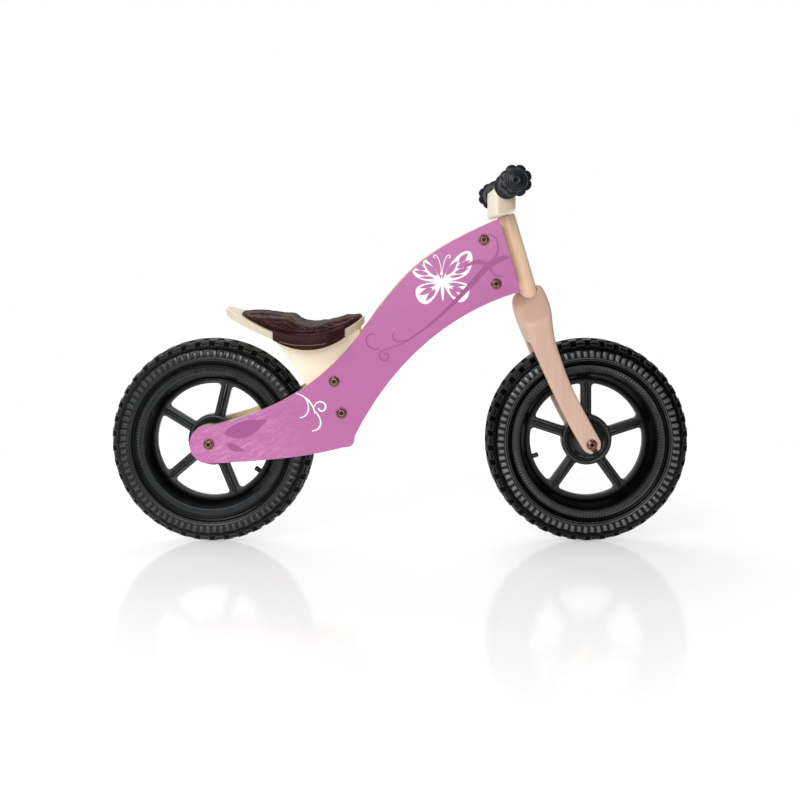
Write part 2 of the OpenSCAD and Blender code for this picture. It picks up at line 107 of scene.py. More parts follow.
def placed(name, data):
    """A new object in the scene from a mesh, curve, light or camera."""
    obj = bpy.data.objects.new(name, data)
    scene.collection.objects.link(obj)
    return obj


def make(name, points, faces, flat=False):
    """A mesh object from points in millimetres, with outward normals."""
    mesh = bpy.data.meshes.new(name)
    mesh.from_pydata([(x * MM, y * MM, z * MM) for x, y, z in points], [], faces)
    return finish_mesh(name, mesh, flat)


def finish_mesh(name, mesh, flat=False):
    work = bmesh.new()
    work.from_mesh(mesh)
    bmesh.ops.remove_doubles(work, verts=work.verts, dist=1e-6)
    bmesh.ops.recalc_face_normals(work, faces=work.faces)
    work.to_mesh(mesh)
    work.free()
    if not flat:
        mesh.shade_smooth()
    return placed(name, mesh)


def grid_faces(rows, columns, wrap_rows=False, wrap_columns=True):
    """Quads between rows of points, each row being `columns` long."""
    faces = []
    for i in range(rows if wrap_rows else rows - 1):
        for j in range(columns if wrap_columns else columns - 1):
            a, b = i * columns, ((i + 1) % rows) * columns
            k = (j + 1) % columns
            faces.append((a + j, a + k, b + k, b + j))
    return faces


def capped_faces(rows, columns):
    """Quads round a stack of closed rows, with a face over each end."""
    last = (rows - 1) * columns
    return grid_faces(rows, columns) + [tuple(range(columns)), tuple(range(last, last + columns))]


def both_sides(half):
    """A wheel's section of (radius, y) from the half on one side."""
    return half + [(r, -y) for r, y in reversed(half)]


def ring(sides):
    """Cosine and sine of each corner of a ring, from the first."""
    return [(math.cos(math.tau * j / sides), math.sin(math.tau * j / sides)) for j in range(sides)]


def on_wheel(axle, angle, along, across, y):
    """A point placed along and across the radius at an angle in degrees."""
    c, s = math.cos(math.radians(angle)), math.sin(math.radians(angle))
    return (axle[0] + along * c - across * s, y, axle[1] + along * s + across * c)


def lathe(name, axle, section, steps, shift=None):
    """A closed section of (radius, y) turned about a wheel's axle.

    shift(radius, y, turn) may return a changed (radius, y); turn runs 0 to 1."""
    points = []
    for i, (c, s) in enumerate(ring(steps)):
        for r, y in section:
            if shift:
                r, y = shift(r, y, i / steps)
            points.append((axle[0] + r * c, y, axle[1] + r * s))
    return make(name, points, grid_faces(steps, len(section), wrap_rows=True))


def tube(name, path, radius, sides=8):
    """A round cord along a path of 3-D points, closed at both ends."""
    points, up = [], Vector((0, 0, 1))
    path = [Vector(p) for p in path]
    for i, p in enumerate(path):
        ahead = (path[min(i + 1, len(path) - 1)] - path[max(i - 1, 0)]).normalized()
        side = ahead.cross(up).normalized()
        top = side.cross(ahead)
        end = 0.6 if i in (0, len(path) - 1) else 1.0
        points += [tuple(p + (side * c + top * s) * radius * end) for c, s in ring(sides)]
    return make(name, points, capped_faces(len(path), sides))


def merged(name, meshes, weld=0.0):
    """A mesh from several, with points closer than weld (in metres) made one."""
    work = bmesh.new()
    for mesh in meshes:
        work.from_mesh(mesh)
    if weld:
        bmesh.ops.remove_doubles(work, verts=work.verts, dist=weld)
    mesh = bpy.data.meshes.new(name)
    work.to_mesh(mesh)
    work.free()
    return mesh


def join(name, objects, flat=False):
    """One object from several, which share a material."""
    mesh = merged(name, [obj.data for obj in objects])
    for obj in objects:
        bpy.data.objects.remove(obj)
    if flat:
        mesh.shade_flat()
    else:
        mesh.shade_smooth()
    return placed(name, mesh)


def final_mesh(obj):
    """What an object's modifiers or curve settings make of it."""
    return bpy.data.meshes.new_from_object(obj.evaluated_get(bpy.context.evaluated_depsgraph_get()))


def applied(obj):
    """Replaces obj's mesh with what its modifiers make of it."""
    mesh = final_mesh(obj)
    obj.modifiers.clear()
    obj.data = mesh
    return obj


def modifier(obj, kind, **settings):
    added = obj.modifiers.new(kind.lower(), kind)
    for key, value in settings.items():
        setattr(added, key, value)
    return added


def soften(node, width, segments=3):
    """Rounds the edges of a CAD node that is still shown."""
    obj = nodes[node]
    modifier(obj, "WELD", merge_threshold=SAME_POINT)
    modifier(obj, "DECIMATE", decimate_type="DISSOLVE", angle_limit=math.radians(0.3))
    modifier(obj, "BEVEL", width=width * MM, segments=segments, limit_method="ANGLE",
             angle_limit=math.radians(38), harden_normals=False, use_clamp_overlap=True)
    obj.data.shade_smooth()
    modifier(obj, "WEIGHTED_NORMAL", keep_sharp=True)


SAME_POINT = 2e-6     # metres between two points of a CAD mesh that are one
SOFTER_ROUNDS = 180   # smoothing rounds of a carved piece where softer is 1


def carved(name, cad_nodes, voxel, rounds, softer=None):
    """One rounded wooden piece from CAD nodes that meet face to face.

    softer(x, y, z) gives how much further each point is rounded, 0 to 1."""
    obj = placed(name, merged(name, [nodes[node].data for node in cad_nodes], SAME_POINT))
    modifier(obj, "REMESH", mode="VOXEL", voxel_size=voxel * MM, use_smooth_shade=True)
    modifier(obj, "SMOOTH", factor=0.5, iterations=rounds)
    applied(obj)
    if softer:
        group = obj.vertex_groups.new(name="softer")
        for vertex in obj.data.vertices:
            group.add([vertex.index], softer(*(v / MM for v in vertex.co)), "REPLACE")
        modifier(obj, "SMOOTH", factor=0.5, iterations=SOFTER_ROUNDS, vertex_group="softer")
        applied(obj)
    obj.data.shade_smooth()
    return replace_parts(obj, *cad_nodes)


# --------------------------------------------------------------- materials

def rgb(red, green, blue):
    """Linear colour from 0-255 display values."""
    def linear(v):
        v /= 255
        return v / 12.92 if v <= 0.04045 else ((v + 0.055) / 1.055) ** 2.4
    return (linear(red), linear(green), linear(blue), 1.0)


class Wiring:
    """The nodes of a material or a world."""

    def __init__(self, owner):
        owner.use_nodes = True
        self.tree = owner.node_tree

    def node(self, kind, inputs=None, **settings):
        made = self.tree.nodes.new(kind)
        for key, value in settings.items():
            setattr(made, key, value)
        for key, value in (inputs or {}).items():
            if isinstance(value, bpy.types.NodeSocket):
                self.tree.links.new(value, made.inputs[key])
            else:
                made.inputs[key].default_value = value
        return made

    def math(self, operation, a, b=0.0):
        return self.node("ShaderNodeMath", {0: a, 1: b}, operation=operation).outputs[0]

    def add(self, a, b):
        return self.math("ADD", a, b)

    def times(self, a, b):
        return self.math("MULTIPLY", a, b)

    def map_range(self, value, low, high, at_low, at_high, **settings):
        inputs = {"Value": value, 1: low, 2: high, 3: at_low, 4: at_high}
        return self.node("ShaderNodeMapRange", inputs, **settings).outputs[0]

    def split(self, vector):
        return self.node("ShaderNodeSeparateXYZ", {"Vector": vector}).outputs


class Paint(Wiring):
    """A material being wired up round one Principled shader."""

    def __init__(self, name, **sockets):
        self.material = bpy.data.materials.new(name)
        super().__init__(self.material)
        self.shader = self.tree.nodes["Principled BSDF"]
        for key, value in sockets.items():
            self.shader.inputs[key.replace("_", " ")].default_value = value
        self.place = self.node("ShaderNodeTexCoord").outputs["Object"]

    def from_axis(self, centre):
        """Metres forward, up and straight away from a point of the side view."""
        x, _, z = self.split(self.place)
        dx, dz = self.math("SUBTRACT", x, centre[0] * MM), self.math("SUBTRACT", z, centre[1] * MM)
        return dx, dz, self.math("SQRT", self.add(self.times(dx, dx), self.times(dz, dz)))

    def stretched(self, scale, turn=(0, 0, 0)):
        """Object coordinates in metres, turned and then scaled; one scale does for all three."""
        if not isinstance(scale, tuple):
            scale = (scale,) * 3
        turned = self.node("ShaderNodeVectorRotate", {"Vector": self.place, "Rotation": turn},
                           rotation_type="EULER_XYZ").outputs[0]
        return self.node("ShaderNodeMapping", {"Vector": turned, "Scale": scale}).outputs[0]

    def noise(self, scale, detail, roughness=0.5, distortion=0.0, turn=(0, 0, 0)):
        return self.node("ShaderNodeTexNoise", {
            "Vector": self.stretched(scale, turn), "Scale": 1.0, "Detail": detail, "Roughness": roughness,
            "Distortion": distortion}).outputs["Fac"]

    def ramp(self, factor, *stops):
        """A colour or grey for each (position, value) stop."""
        made = self.node("ShaderNodeValToRGB", {"Fac": factor})
        elements = made.color_ramp.elements
        while len(elements) < len(stops):
            elements.new(0.5)
        for element, (position, value) in zip(elements, stops):
            element.position = position
            element.color = value if isinstance(value, tuple) else (value, value, value, 1)
        return made.outputs["Color"]

    def mix(self, factor, a, b, blend="MIX"):
        made = self.node("ShaderNodeMix", {"Factor": factor}, data_type="RGBA", blend_type=blend)
        for socket, value in ((made.inputs[6], a), (made.inputs[7], b)):
            if isinstance(value, bpy.types.NodeSocket):
                self.tree.links.new(value, socket)
            else:
                socket.default_value = value
        return made.outputs[2]

    def facing(self, axis):
        """How squarely the true face points along an axis (0 to 2), 0 to 1."""
        normal = self.node("ShaderNodeNewGeometry").outputs["True Normal"]
        return self.math("ABSOLUTE", self.split(normal)[axis])

    def bump(self, height, strength, distance, under=None):
        inputs = {"Height": height, "Strength": strength, "Distance": distance * MM}
        if under:
            inputs["Normal"] = under
        return self.node("ShaderNodeBump", inputs).outputs["Normal"]

    def set(self, socket, value):
        self.tree.links.new(value, self.shader.inputs[socket])

    def finish(self, colour, roughness, normal):
        self.set("Base Color", colour)
        self.set("Roughness", roughness)
        self.set("Normal", normal)
        return self


def give(obj, paint, body=None):
    """Puts a material on a piece, and if it isn't a CAD node, its body too."""
    obj.data.materials.clear()
    obj.data.materials.append(paint.material)
    for polygon in obj.data.polygons:
        polygon.material_index = 0
    if body:
        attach(obj, body)
    return obj


def shade(colour, factor):
    return tuple(v * factor for v in colour[:3]) + (1.0,)


def grain(paint, direction, light, dark, contrast=0.5):
    """Colour of wood figured along X, Y or Z, in broad bands and fine pores, and the pores alone."""
    broad, fine = ([across] * 3 for across in (26, 520))
    broad["XYZ".index(direction)], fine["XYZ".index(direction)] = 2.2, 9
    bands = paint.noise(tuple(broad), 4, 0.55, 0.6)
    pores = paint.noise(tuple(fine), 3, 0.6)
    figure = paint.add(paint.times(bands, 0.62), paint.times(pores, 0.38))
    spread = 0.5 * (1 - contrast)
    return paint.ramp(figure, (0.22 + spread * 0.4, dark), (0.72 - spread * 0.4, light)), pores


def plies(paint, level, pitch, light, dark):
    """Alternating veneers from a position in metres across the board."""
    wobble = paint.math("SUBTRACT", paint.noise(60, 2), 0.5)
    shifted = paint.add(level, paint.times(wobble, 0.00022))
    return paint.ramp(paint.math("FRACT", paint.math("DIVIDE", shifted, pitch * MM)),
                      (0.0, dark), (0.08, dark), (0.16, light), (0.48, light), (0.56, dark), (0.94, dark))


def on_side(paint, low=0.72, high=0.86):
    """1 where the true face points along Y, 0 on the cut edges."""
    return paint.ramp(paint.facing(1), (low, 0.0), (high, 1.0))


def pink_panel():
    paint = Paint("pink_lacquer", Coat_Weight=0.35, Coat_Roughness=0.22)
    face, pores = grain(paint, "X", rgb(184, 100, 159), rgb(178, 95, 153), 0.4)
    place = paint.split(paint.place)
    scuffs = paint.noise((46, 46, 240), 5, 0.7, 1.2, (0, math.radians(24), 0))
    tail = paint.map_range(place[0], -0.13, -0.2, 0.0, 1.0)
    worn = paint.times(paint.ramp(scuffs, (0.47, 0.0), (0.64, 1.0)), tail)
    face = paint.mix(paint.times(worn, 0.5), face, rgb(222, 152, 200))
    wood = plies(paint, place[1], 2.4, rgb(232, 205, 165), rgb(188, 148, 108))
    bare, _ = grain(paint, "X", rgb(236, 212, 176), rgb(216, 184, 140), 0.5)
    outside = paint.ramp(paint.math("ABSOLUTE", place[1]), (0.0395, 0.0), (0.0405, 1.0))
    face = paint.mix(outside, bare, face)
    side = on_side(paint, 0.25, 0.4)
    rough = paint.mix(side, rgb(150, 150, 150), paint.add(paint.times(scuffs, 0.18), 0.3))
    fibre = paint.noise((30, 900, 900), 3)
    return paint.finish(paint.mix(side, wood, face), rough,
                        paint.bump(pores, 0.25, 0.12, paint.bump(fibre, 0.1, 0.2)))


def ply_wood(name, light, dark, pitch, bent=False):
    """Clear-lacquered birch: figured faces, and veneers along the cut edges.

    The veneers lie across Y, or along the seat board's bend if it is the bent board."""
    paint = Paint(name, Coat_Weight=0.15, Coat_Roughness=0.3)
    face, pores = grain(paint, "X", light, dark)
    if bent:
        level = board_level(paint)
        side = paint.ramp(paint.facing(2), (0.5, 0.0), (0.7, 1.0))
    else:
        level, side = paint.split(paint.place)[1], on_side(paint)
    wood = plies(paint, level, pitch, shade(light, 0.9), shade(dark, 0.5))
    return paint.finish(paint.mix(side, wood, face), paint.ramp(pores, (0.3, 0.36), (0.8, 0.5)),
                        paint.bump(pores, 0.3, 0.12))


def board_level(paint):
    """Metres below the seat board's centre of bend, the same all along a veneer."""
    dx, dz, bend = paint.from_axis(SEAT_ARC)
    straight = paint.add(paint.times(dx, -math.sin(SEAT_TILT)), paint.times(dz, -math.cos(SEAT_TILT)))
    in_tail = paint.math("LESS_THAN", dx, (SEAT_TAIL - SEAT_ARC[0]) * MM)
    return paint.add(bend, paint.times(paint.math("SUBTRACT", straight, bend), in_tail))


def solid_wood(name, light, dark, coat, roughness, contrast):
    """Solid timber with upright grain and cloudy darker patches."""
    paint = Paint(name, Coat_Weight=coat, Coat_Roughness=0.15)
    face, pores = grain(paint, "Z", light, dark, contrast)
    cloudy = paint.noise(18, 2)
    return paint.finish(paint.mix(paint.times(cloudy, 0.25), face, dark),
                        paint.ramp(pores, (0.3, roughness - 0.06), (0.8, roughness + 0.08)),
                        paint.bump(pores, 0.3, 0.15))


def block_wood():
    """Solid wood with a tan cut end across the bar, darkened further as painted shade, and paler long
    sides.
    """
    paint = Paint("block_wood", Coat_Weight=0.2, Coat_Roughness=0.25)
    sides, pores = grain(paint, "Y", rgb(246, 238, 218), rgb(234, 224, 200), 0.4)
    # The ends' tan is end grain together with painted shade.
    end_grain_and_shade, _ = grain(paint, "Z", rgb(222, 205, 182), rgb(206, 186, 160))
    return paint.finish(paint.mix(on_side(paint), sides, end_grain_and_shade), paint.ramp(pores, (0.3, 0.38), (0.8, 0.5)),
                        paint.bump(pores, 0.3, 0.12))


def blotched(name, blotch, tones, rough, skin, bump, at=(0.3, 0.7), **sockets):
    """Blotches of two tones and two roughnesses over a fine skin.

    blotch and skin are the scale, detail and so on of a noise, and at is where along
    the first of them the two tones lie."""
    paint = Paint(name, **sockets)
    patch = paint.noise(blotch[0], *blotch[1:])
    fine = paint.noise(skin[0], *skin[1:]) if skin else patch
    return paint.finish(paint.ramp(patch, *zip(at, tones)), paint.ramp(patch, *zip((0.3, 0.7), rough)),
                        paint.bump(fine, *bump))


def rubber(name, tone, roughness, scale, specular=0.35):
    return blotched(name, (55, 4, 0.6), (shade(tone, 0.75), tone), (roughness - 0.08, roughness + 0.08),
                    (scale, 3, 0.6), (0.2, 0.25), Specular_IOR_Level=specular)


def black_moulding(name, level, tones, roughness, skin_scale, tint=0.03):
    """Black rubber or plastic whose brightness and shine follow `level`: its dark stops are painted shade
    and its bright stops painted highlights.

    level(paint) gives the socket that is followed, and tones the (level, brightness,
    shine) stops along it. Brightness is a 0-255 display value, and tint makes it bluer."""
    paint = Paint(name, Specular_IOR_Level=0.3)
    where = level(paint)
    dust = paint.noise(55, 4, 0.6)
    colour = paint.ramp(where, *((at, rgb(v, v * (1 + tint), v * (1 + 2 * tint))) for at, v, _ in tones))
    paint.set("Specular IOR Level", paint.ramp(where, *((at, shine) for at, _, shine in tones)))
    skin = paint.noise(skin_scale, 3, 0.6)
    return paint.finish(paint.mix(paint.ramp(dust, (0.3, 0.45), (0.7, 0.0)), colour, (0, 0, 0, 1)),
                        paint.ramp(dust, (0.3, roughness - 0.08), (0.7, roughness + 0.08)),
                        paint.bump(skin, 0.18, 0.2))


def painted_relief_light(paint):
    """The tyre mesh's painted light: 0, painted shade, in a groove, up to 1, a painted highlight, on a
    side-wall bar.
    """
    return paint.node("ShaderNodeAttribute", attribute_name="painted_relief_light").outputs["Fac"]


RIM_REACH = 125.0   # a little more than the rim's radius


def radius_about(axle):
    """Distance from a wheel's axle in units of RIM_REACH, for a material's stops."""
    return lambda paint: paint.math("DIVIDE", paint.from_axis(axle)[2], RIM_REACH * MM)


def metal(name, light, dark, roughness):
    """Plated metal with blotches and fine scratches."""
    return blotched(name, (260, 4, 0.6), (dark, light), (roughness + 0.12, roughness - 0.05),
                    ((2400, 300, 300), 2), (0.12, 0.1), (0.35, 0.65), Metallic=1.0)


def plain(name, tone, roughness, **sockets):
    """Printed lacquer or thread, with a slight unevenness."""
    return blotched(name, (320, 3), (shade(tone, 0.93), tone), (roughness, roughness + 0.08),
                    None, (0.1, 0.05), **sockets)


def leather_paint():
    """Dark brown leather: pebbled grain, soft creases darkened with painted shade, and a paler crown that
    is a painted highlight.
    """
    paint = Paint("leather", Coat_Weight=0.04, Coat_Roughness=0.3, Specular_IOR_Level=0.1)
    cell = paint.node("ShaderNodeTexVoronoi", {"Vector": paint.place, "Scale": 620.0},
                      feature="DISTANCE_TO_EDGE").outputs["Distance"]
    pebble = paint.ramp(cell, (0.0, 0.0), (0.35, 1.0))
    crease = paint.noise((70, 34, 70), 5, 0.62, 1.4)
    cloud = paint.noise(22, 3)
    tone = paint.ramp(cloud, (0.3, rgb(44, 14, 15)), (0.55, rgb(57, 24, 22)), (0.78, rgb(82, 52, 36)))
    # Darker in the low creases: painted shade.
    tone = paint.mix(paint.ramp(crease, (0.36, 0.5), (0.5, 0.0)), tone, rgb(26, 13, 14))
    # The paler patch on the crown is a painted highlight where the light catches it.
    crest = (-0.158, -0.014, 0.341)
    from_crest = paint.node("ShaderNodeVectorMath", {0: paint.stretched((1, 0.4, 1)), 1: crest},
                            operation="DISTANCE").outputs["Value"]
    crest_highlight = paint.times(paint.ramp(from_crest, (0.005, 0.9), (0.019, 0.0)),
                         paint.ramp(cloud, (0.3, 0.4), (0.6, 1.0)))
    return paint.finish(paint.mix(crest_highlight, tone, rgb(104, 84, 56)),
                        paint.ramp(crease, (0.3, 0.6), (0.7, 0.44)),
                        paint.bump(pebble, 0.22, 0.3, paint.bump(crease, 0.55, 1.2)))


PINK = pink_panel()
BIRCH = ply_wood("birch_ply", rgb(255, 243, 220), rgb(250, 232, 205), 2.4)
SEAT_PLY = ply_wood("seat_ply", rgb(255, 243, 220), rgb(250, 233, 207), 1.9, bent=True)
FORK_WOOD = solid_wood("fork_beech", rgb(212, 178, 160), rgb(200, 164, 144), 0.1, 0.45, 0.4)
TUBE_WOOD = solid_wood("tube_wood", rgb(254, 220, 190), rgb(243, 202, 168), 0.8, 0.3, 0.5)
BLOCK_WOOD = block_wood()
# Both tyres are one black rubber. The stops paint shade into the grooves and highlights onto the bars and
# side wall, and front and rear are toned apart as painted light.
TYRE_FRONT = black_moulding("tyre_rubber_front", painted_relief_light, (
    (0.0, 2, 0.02), (0.25, 6, 0.1), (0.5, 13, 0.3), (0.75, 11, 0.18), (1.0, 76, 1.0)), 0.32, 900)
TYRE_REAR = black_moulding("tyre_rubber_rear", painted_relief_light, (
    (0.0, 6, 0.05), (0.25, 20, 0.15), (0.5, 27, 0.35), (0.75, 18, 0.26), (1.0, 27, 0.7)), 0.31, 900, 0.12)
# Both rims are one black plastic. The stops along the radius paint the recess inside the ribbed ring near
# black as painted shade and the ring brighter as a painted highlight, and front and rear are toned apart
# as painted light.
RIM_FRONT = black_moulding("rim_plastic_front", radius_about(FRONT_AXLE), (
    (0.0, 22, 0.5), (0.68, 22, 0.5), (0.72, 4, 0.1), (0.81, 2, 0.05), (0.84, 42, 0.45), (0.89, 44, 0.45),
    (0.91, 8, 0.3)), 0.33, 1400)
RIM_REAR = black_moulding("rim_plastic_rear", radius_about(REAR_AXLE), (
    (0.0, 28, 0.5), (0.68, 28, 0.5), (0.71, 3, 0.1), (0.76, 4, 0.1), (0.8, 28, 0.38), (0.865, 28, 0.38),
    (0.885, 10, 0.15)), 0.33, 1400, 0.12)
TUBE_RUBBER = rubber("tube_rubber", rgb(20, 20, 21), 0.4, 500)
GRIP = rubber("grip_rubber", rgb(15, 18, 24), 0.32, 1100, 0.3)
BRONZE = metal("bronze_plate", rgb(158, 118, 110), rgb(112, 78, 74), 0.34)
# Darker bronze: painted shade for the bolts' groove and socket.
BRONZE_SHADE = metal("bronze_painted_shade", rgb(74, 48, 44), rgb(50, 32, 30), 0.5)
ZINC = metal("zinc_plate", rgb(205, 207, 210), rgb(172, 176, 182), 0.3)
BLACK = rgb(34, 34, 36)
BLACK_PAINT = blotched("black_paint", (24, 4, 0.6, 0.8), (shade(BLACK, 0.7), BLACK), (0.23, 0.38),
                       (1400, 2), (0.12, 0.15), Specular_IOR_Level=0.45)
NYLON = plain("nylon", rgb(228, 228, 222), 0.4)
LEATHER = leather_paint()
THREAD = plain("thread", rgb(132, 104, 94), 0.6)
PIPING = plain("raw_leather_edge", rgb(116, 80, 62), 0.6)
PRINT_WHITE = plain("print_white", rgb(252, 250, 252), 0.4)
PRINT_DARK = plain("print_dark_pink", rgb(158, 72, 136), 0.36, Coat_Weight=0.3, Coat_Roughness=0.25)


# ------------------------------------------------------------------ wheels

LUMPS = 42            # tread lumps round a tyre
TYRE_CENTRE = 126.5   # radius of the tyre's hoop, about which its section is round
CARCASS = 25.0        # radius of that section without the tread


def tread(turn, angle):
    """Height of the rubber above the carcass in mm, and its painted light from 0 to 1: painted shade in
    the grooves and painted highlights on the lumps, bars and side wall.

    turn is 0 to 1 round the wheel and angle runs over the section in degrees,
    0 at the crown and about 90 on the side wall."""
    side = abs(angle)
    pitch = turn * LUMPS + (0.5 if angle < 0 else 0.0)
    u = pitch % 1.0
    v = (pitch + 0.5) % 1.0
    half = (pitch * 2) % 1.0
    shoulder = band(u, 0.2, 0.8, 0.05) * band(side, 29, 50, 2.0)
    middle = band(v, 0.2, 0.76, 0.05) * band(side, 11, 25, 1.8)
    crown = band((turn * LUMPS) % 1.0, 0.22, 0.78, 0.05) * band(side, 0, 7.5, 1.8)
    dash = band(u, 0.3, 0.7, 0.04) * band(side, 42, 47, 1.2)
    tall = int(pitch * 2) % 2
    bars = band(half, 0.28, 0.72, 0.09) * band(side, 70 if tall else 75, 92, 2.0)
    rib = band(side, 97, 99, 1.5) + band(side, 105, 107, 1.5)
    lump = max(shoulder, middle, crown)
    base = -2.9 + 1.6 * smooth_step(side, 50, 56) + 0.5 * smooth_step(side, 62, 66)
    foot = -1.2 * smooth_step(side, 108, 113)
    height = base + 2.9 * lump - 0.9 * dash * lump + 1.25 * bars + 0.35 * rib + foot
    # Painted light: shade low in the grooves, highlights on the lumps, the bars and the side wall.
    wall = band(side, 74, 104, 8)
    painted_lights = 0.5 * lump * (1 - dash) + 0.2 * band(side, 52, 60, 3) + 0.75 * wall
    painted_lights += 0.25 * max(bars, 0.6 * rib) + 0.2 * smooth_step(side, 112, 116)
    return height, min(1.0, painted_lights)


def tyre(name, axle, paint, body):
    """Outside with its tread, flat beads against the rim, and a hollow for the tube."""
    angles = [a * 1.5 for a in range(-81, 82)]
    bead = [(112.6, 18.7), (101.8, 18.6), (101.7, 13.2)]
    hollow = arc((TYRE_CENTRE, 0), 20.9, 140, -140, 28)
    closing = bead + hollow + [(r, -y) for r, y in reversed(bead)]
    points, painted_lights = [], []
    steps = LUMPS * 28
    for i, (c, s) in enumerate(ring(steps)):
        for a in angles:
            height, painted_light = tread(i / steps, a)
            r = TYRE_CENTRE + (CARCASS + height) * math.cos(math.radians(a))
            y = (CARCASS + height) * math.sin(math.radians(a))
            points.append((axle[0] + r * c, y, axle[1] + r * s))
            painted_lights.append(painted_light)
        for r, y in closing:
            points.append((axle[0] + r * c, y, axle[1] + r * s))
            painted_lights.append(0.2)
    obj = make(name, points, grid_faces(steps, len(angles) + len(closing), wrap_rows=True))
    obj.data.attributes.new("painted_relief_light", "FLOAT", "POINT").data.foreach_set("value", painted_lights)
    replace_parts(obj, name.replace("_look", ""))
    return give(obj, paint, body)


def window(middle):
    """Outline of one opening between two spokes, with rounded corners."""
    spoke, corner, inner, outer = 7.75, 5.0, 37.0, 84.0   # the spoke is half its width
    left, right = middle + 36.0, middle - 36.0

    def off_spoke(radius):
        """Angle between a spoke's middle and the centre of a corner at this radius."""
        return math.degrees(math.asin((spoke + corner) / radius))

    def fillet(radius, angle, start, end):
        return arc(on_circle(radius, angle), corner, start, end, 8)

    top_r, low_r = outer - corner, inner + corner
    top, low = off_spoke(top_r), off_spoke(low_r)
    return (arc((0, 0), outer, right + top, left - top, 20)
            + fillet(top_r, left - top, left - top, left + 90)
            + fillet(low_r, left - low, left + 90, left - low + 180)
            + arc((0, 0), inner, left - low, right + low, 10)
            + fillet(low_r, right + low, right + low - 180, right - 90)
            + fillet(top_r, right + top, right - 90, right + top))


def flat_plate(name, outlines, half, bevel):
    """A plate in the XY plane with holes, its edges rounded."""
    curve = bpy.data.curves.new(name, "CURVE")
    curve.dimensions = "2D"
    curve.fill_mode = "BOTH"
    curve.extrude = (half - bevel) * MM
    curve.bevel_depth = bevel * MM
    curve.bevel_resolution = 2
    curve.offset = -bevel * MM
    for outline in outlines:
        spline = curve.splines.new("POLY")
        spline.points.add(len(outline) - 1)
        spline.use_cyclic_u = True
        for point, (x, y) in zip(spline.points, outline):
            point.co = (x * MM, y * MM, 0, 1)
    obj = placed(name, curve)
    mesh = final_mesh(obj)
    bpy.data.objects.remove(obj)
    return mesh


def into_side_view(mesh, x, z, y=0.0):
    """Stands a mesh drawn in XY up in the side view, at a point in mm."""
    mesh.transform(Matrix.Translation((x * MM, y * MM, z * MM)) @ Matrix.Rotation(math.pi / 2, 4, "X"))
    return mesh


def spoke_ridge(axle, angle, side):
    """The raised crest along one face of a spoke."""
    half = [(0.8, 6.9), (1.5, 5.7), (5.6, 4.1), (6.2, 3.4)]
    section = [(-across, y) for across, y in reversed(half)] + half
    stations = ((31, 0.75), (34, 1), (60, 1), (84, 1), (87.5, 0.75))   # along the spoke, and how high
    points = [on_wheel(axle, angle, along, across, side * y * height)
              for along, height in stations for across, y in section]
    return make("ridge", points, capped_faces(len(stations), len(section)))


def rim(name, axle, first_spoke, paint, body):
    """Ribbed channel, hub, and a web of five spokes with a ridge on each face."""
    ribs = 150
    half = [(90, 4.2), (91.3, 5.6), (94.4, 12), (98.8, 20.0), (99.9, 21.6), (100.8, 22.4), (101.9, 22.4),
            (102.6, 22.0), (103.0, 21.9), (106.0, 22.1), (109.4, 22.1), (110.8, 21.9), (111.3, 22.1),
            (112.0, 22.5), (112.8, 22.3), (113.2, 21.4), (113.2, 19.3), (112.6, 18.85), (101.6, 18.8),
            (101.5, 12.9), (95, 7)]

    def ribbed(r, y, turn):
        if 102.5 < r < 111 and abs(y) > 21.8:
            y -= math.copysign(0.9 * smooth_step(math.cos(turn * ribs * math.tau), -0.5, 0.5), y)
        return r, y

    channel = lathe(name + "_channel", axle, both_sides(half), ribs * 6, ribbed)
    hub_half = [(11.15, 27.7), (15.4, 28.0), (16.4, 27.4), (20.5, 24.4), (24.6, 19.2), (27.4, 13.2),
                (28.8, 8.4), (29.6, 6.6), (30.6, 6.6), (31.2, 8.6), (32.2, 9.3), (35.6, 9.3), (36.9, 8.6),
                (37.6, 6.4), (37.6, 3.0)]
    hub = lathe(name + "_hub", axle, both_sides(hub_half), 96)
    outlines = [arc((0, 0), 92.2, 0, 360, 120)[:-1], arc((0, 0), 30, 0, 360, 60)[:-1]]
    outlines += [window(first_spoke + 36 + 72 * i) for i in range(5)]
    web = finish_mesh(name + "_web", into_side_view(flat_plate(name + "_web", outlines, 5.0, 1.2), *axle))
    ridges = [spoke_ridge(axle, first_spoke + 72 * i, side) for i in range(5) for side in (-1, 1)]
    obj = join(name, [channel, hub, web] + ridges)
    modifier(obj, "EDGE_SPLIT", split_angle=math.radians(50))
    applied(obj)
    wheel_end = name.split("_")[0]
    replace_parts(obj, wheel_end + "_rim", wheel_end + "_spokes", wheel_end + "_hub")
    return give(obj, paint, body)


def valve(name, axle, angle, paint, body):
    """Stem with a flared foot and a knurled cap, pointing at the hub."""
    profile = [(3.0, 91.5), (4.6, 91.2), (4.8, 90.2), (3.3, 88.8), (2.6, 87.0), (2.3, 84.2), (3.3, 84.0),
               (3.5, 83.4), (3.5, 76.8), (3.2, 75.5), (2.2, 75.0), (0.01, 75.0)]
    points, sides = [], 40
    for r, along in profile:
        for j in range(sides):
            a = math.tau * j / sides
            knurl = 0.18 if j % 2 and 76 < along < 83 else 0.0
            across, y = (r - knurl) * math.cos(a), (r - knurl) * math.sin(a)
            points.append(on_wheel(axle, angle, along, across, y))
    faces = grid_faces(len(profile), sides) + [tuple(range(sides))]
    obj = make(name, points, faces)
    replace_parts(obj, body.replace("_wheel", "_valve_cap"))
    return give(obj, paint, body)


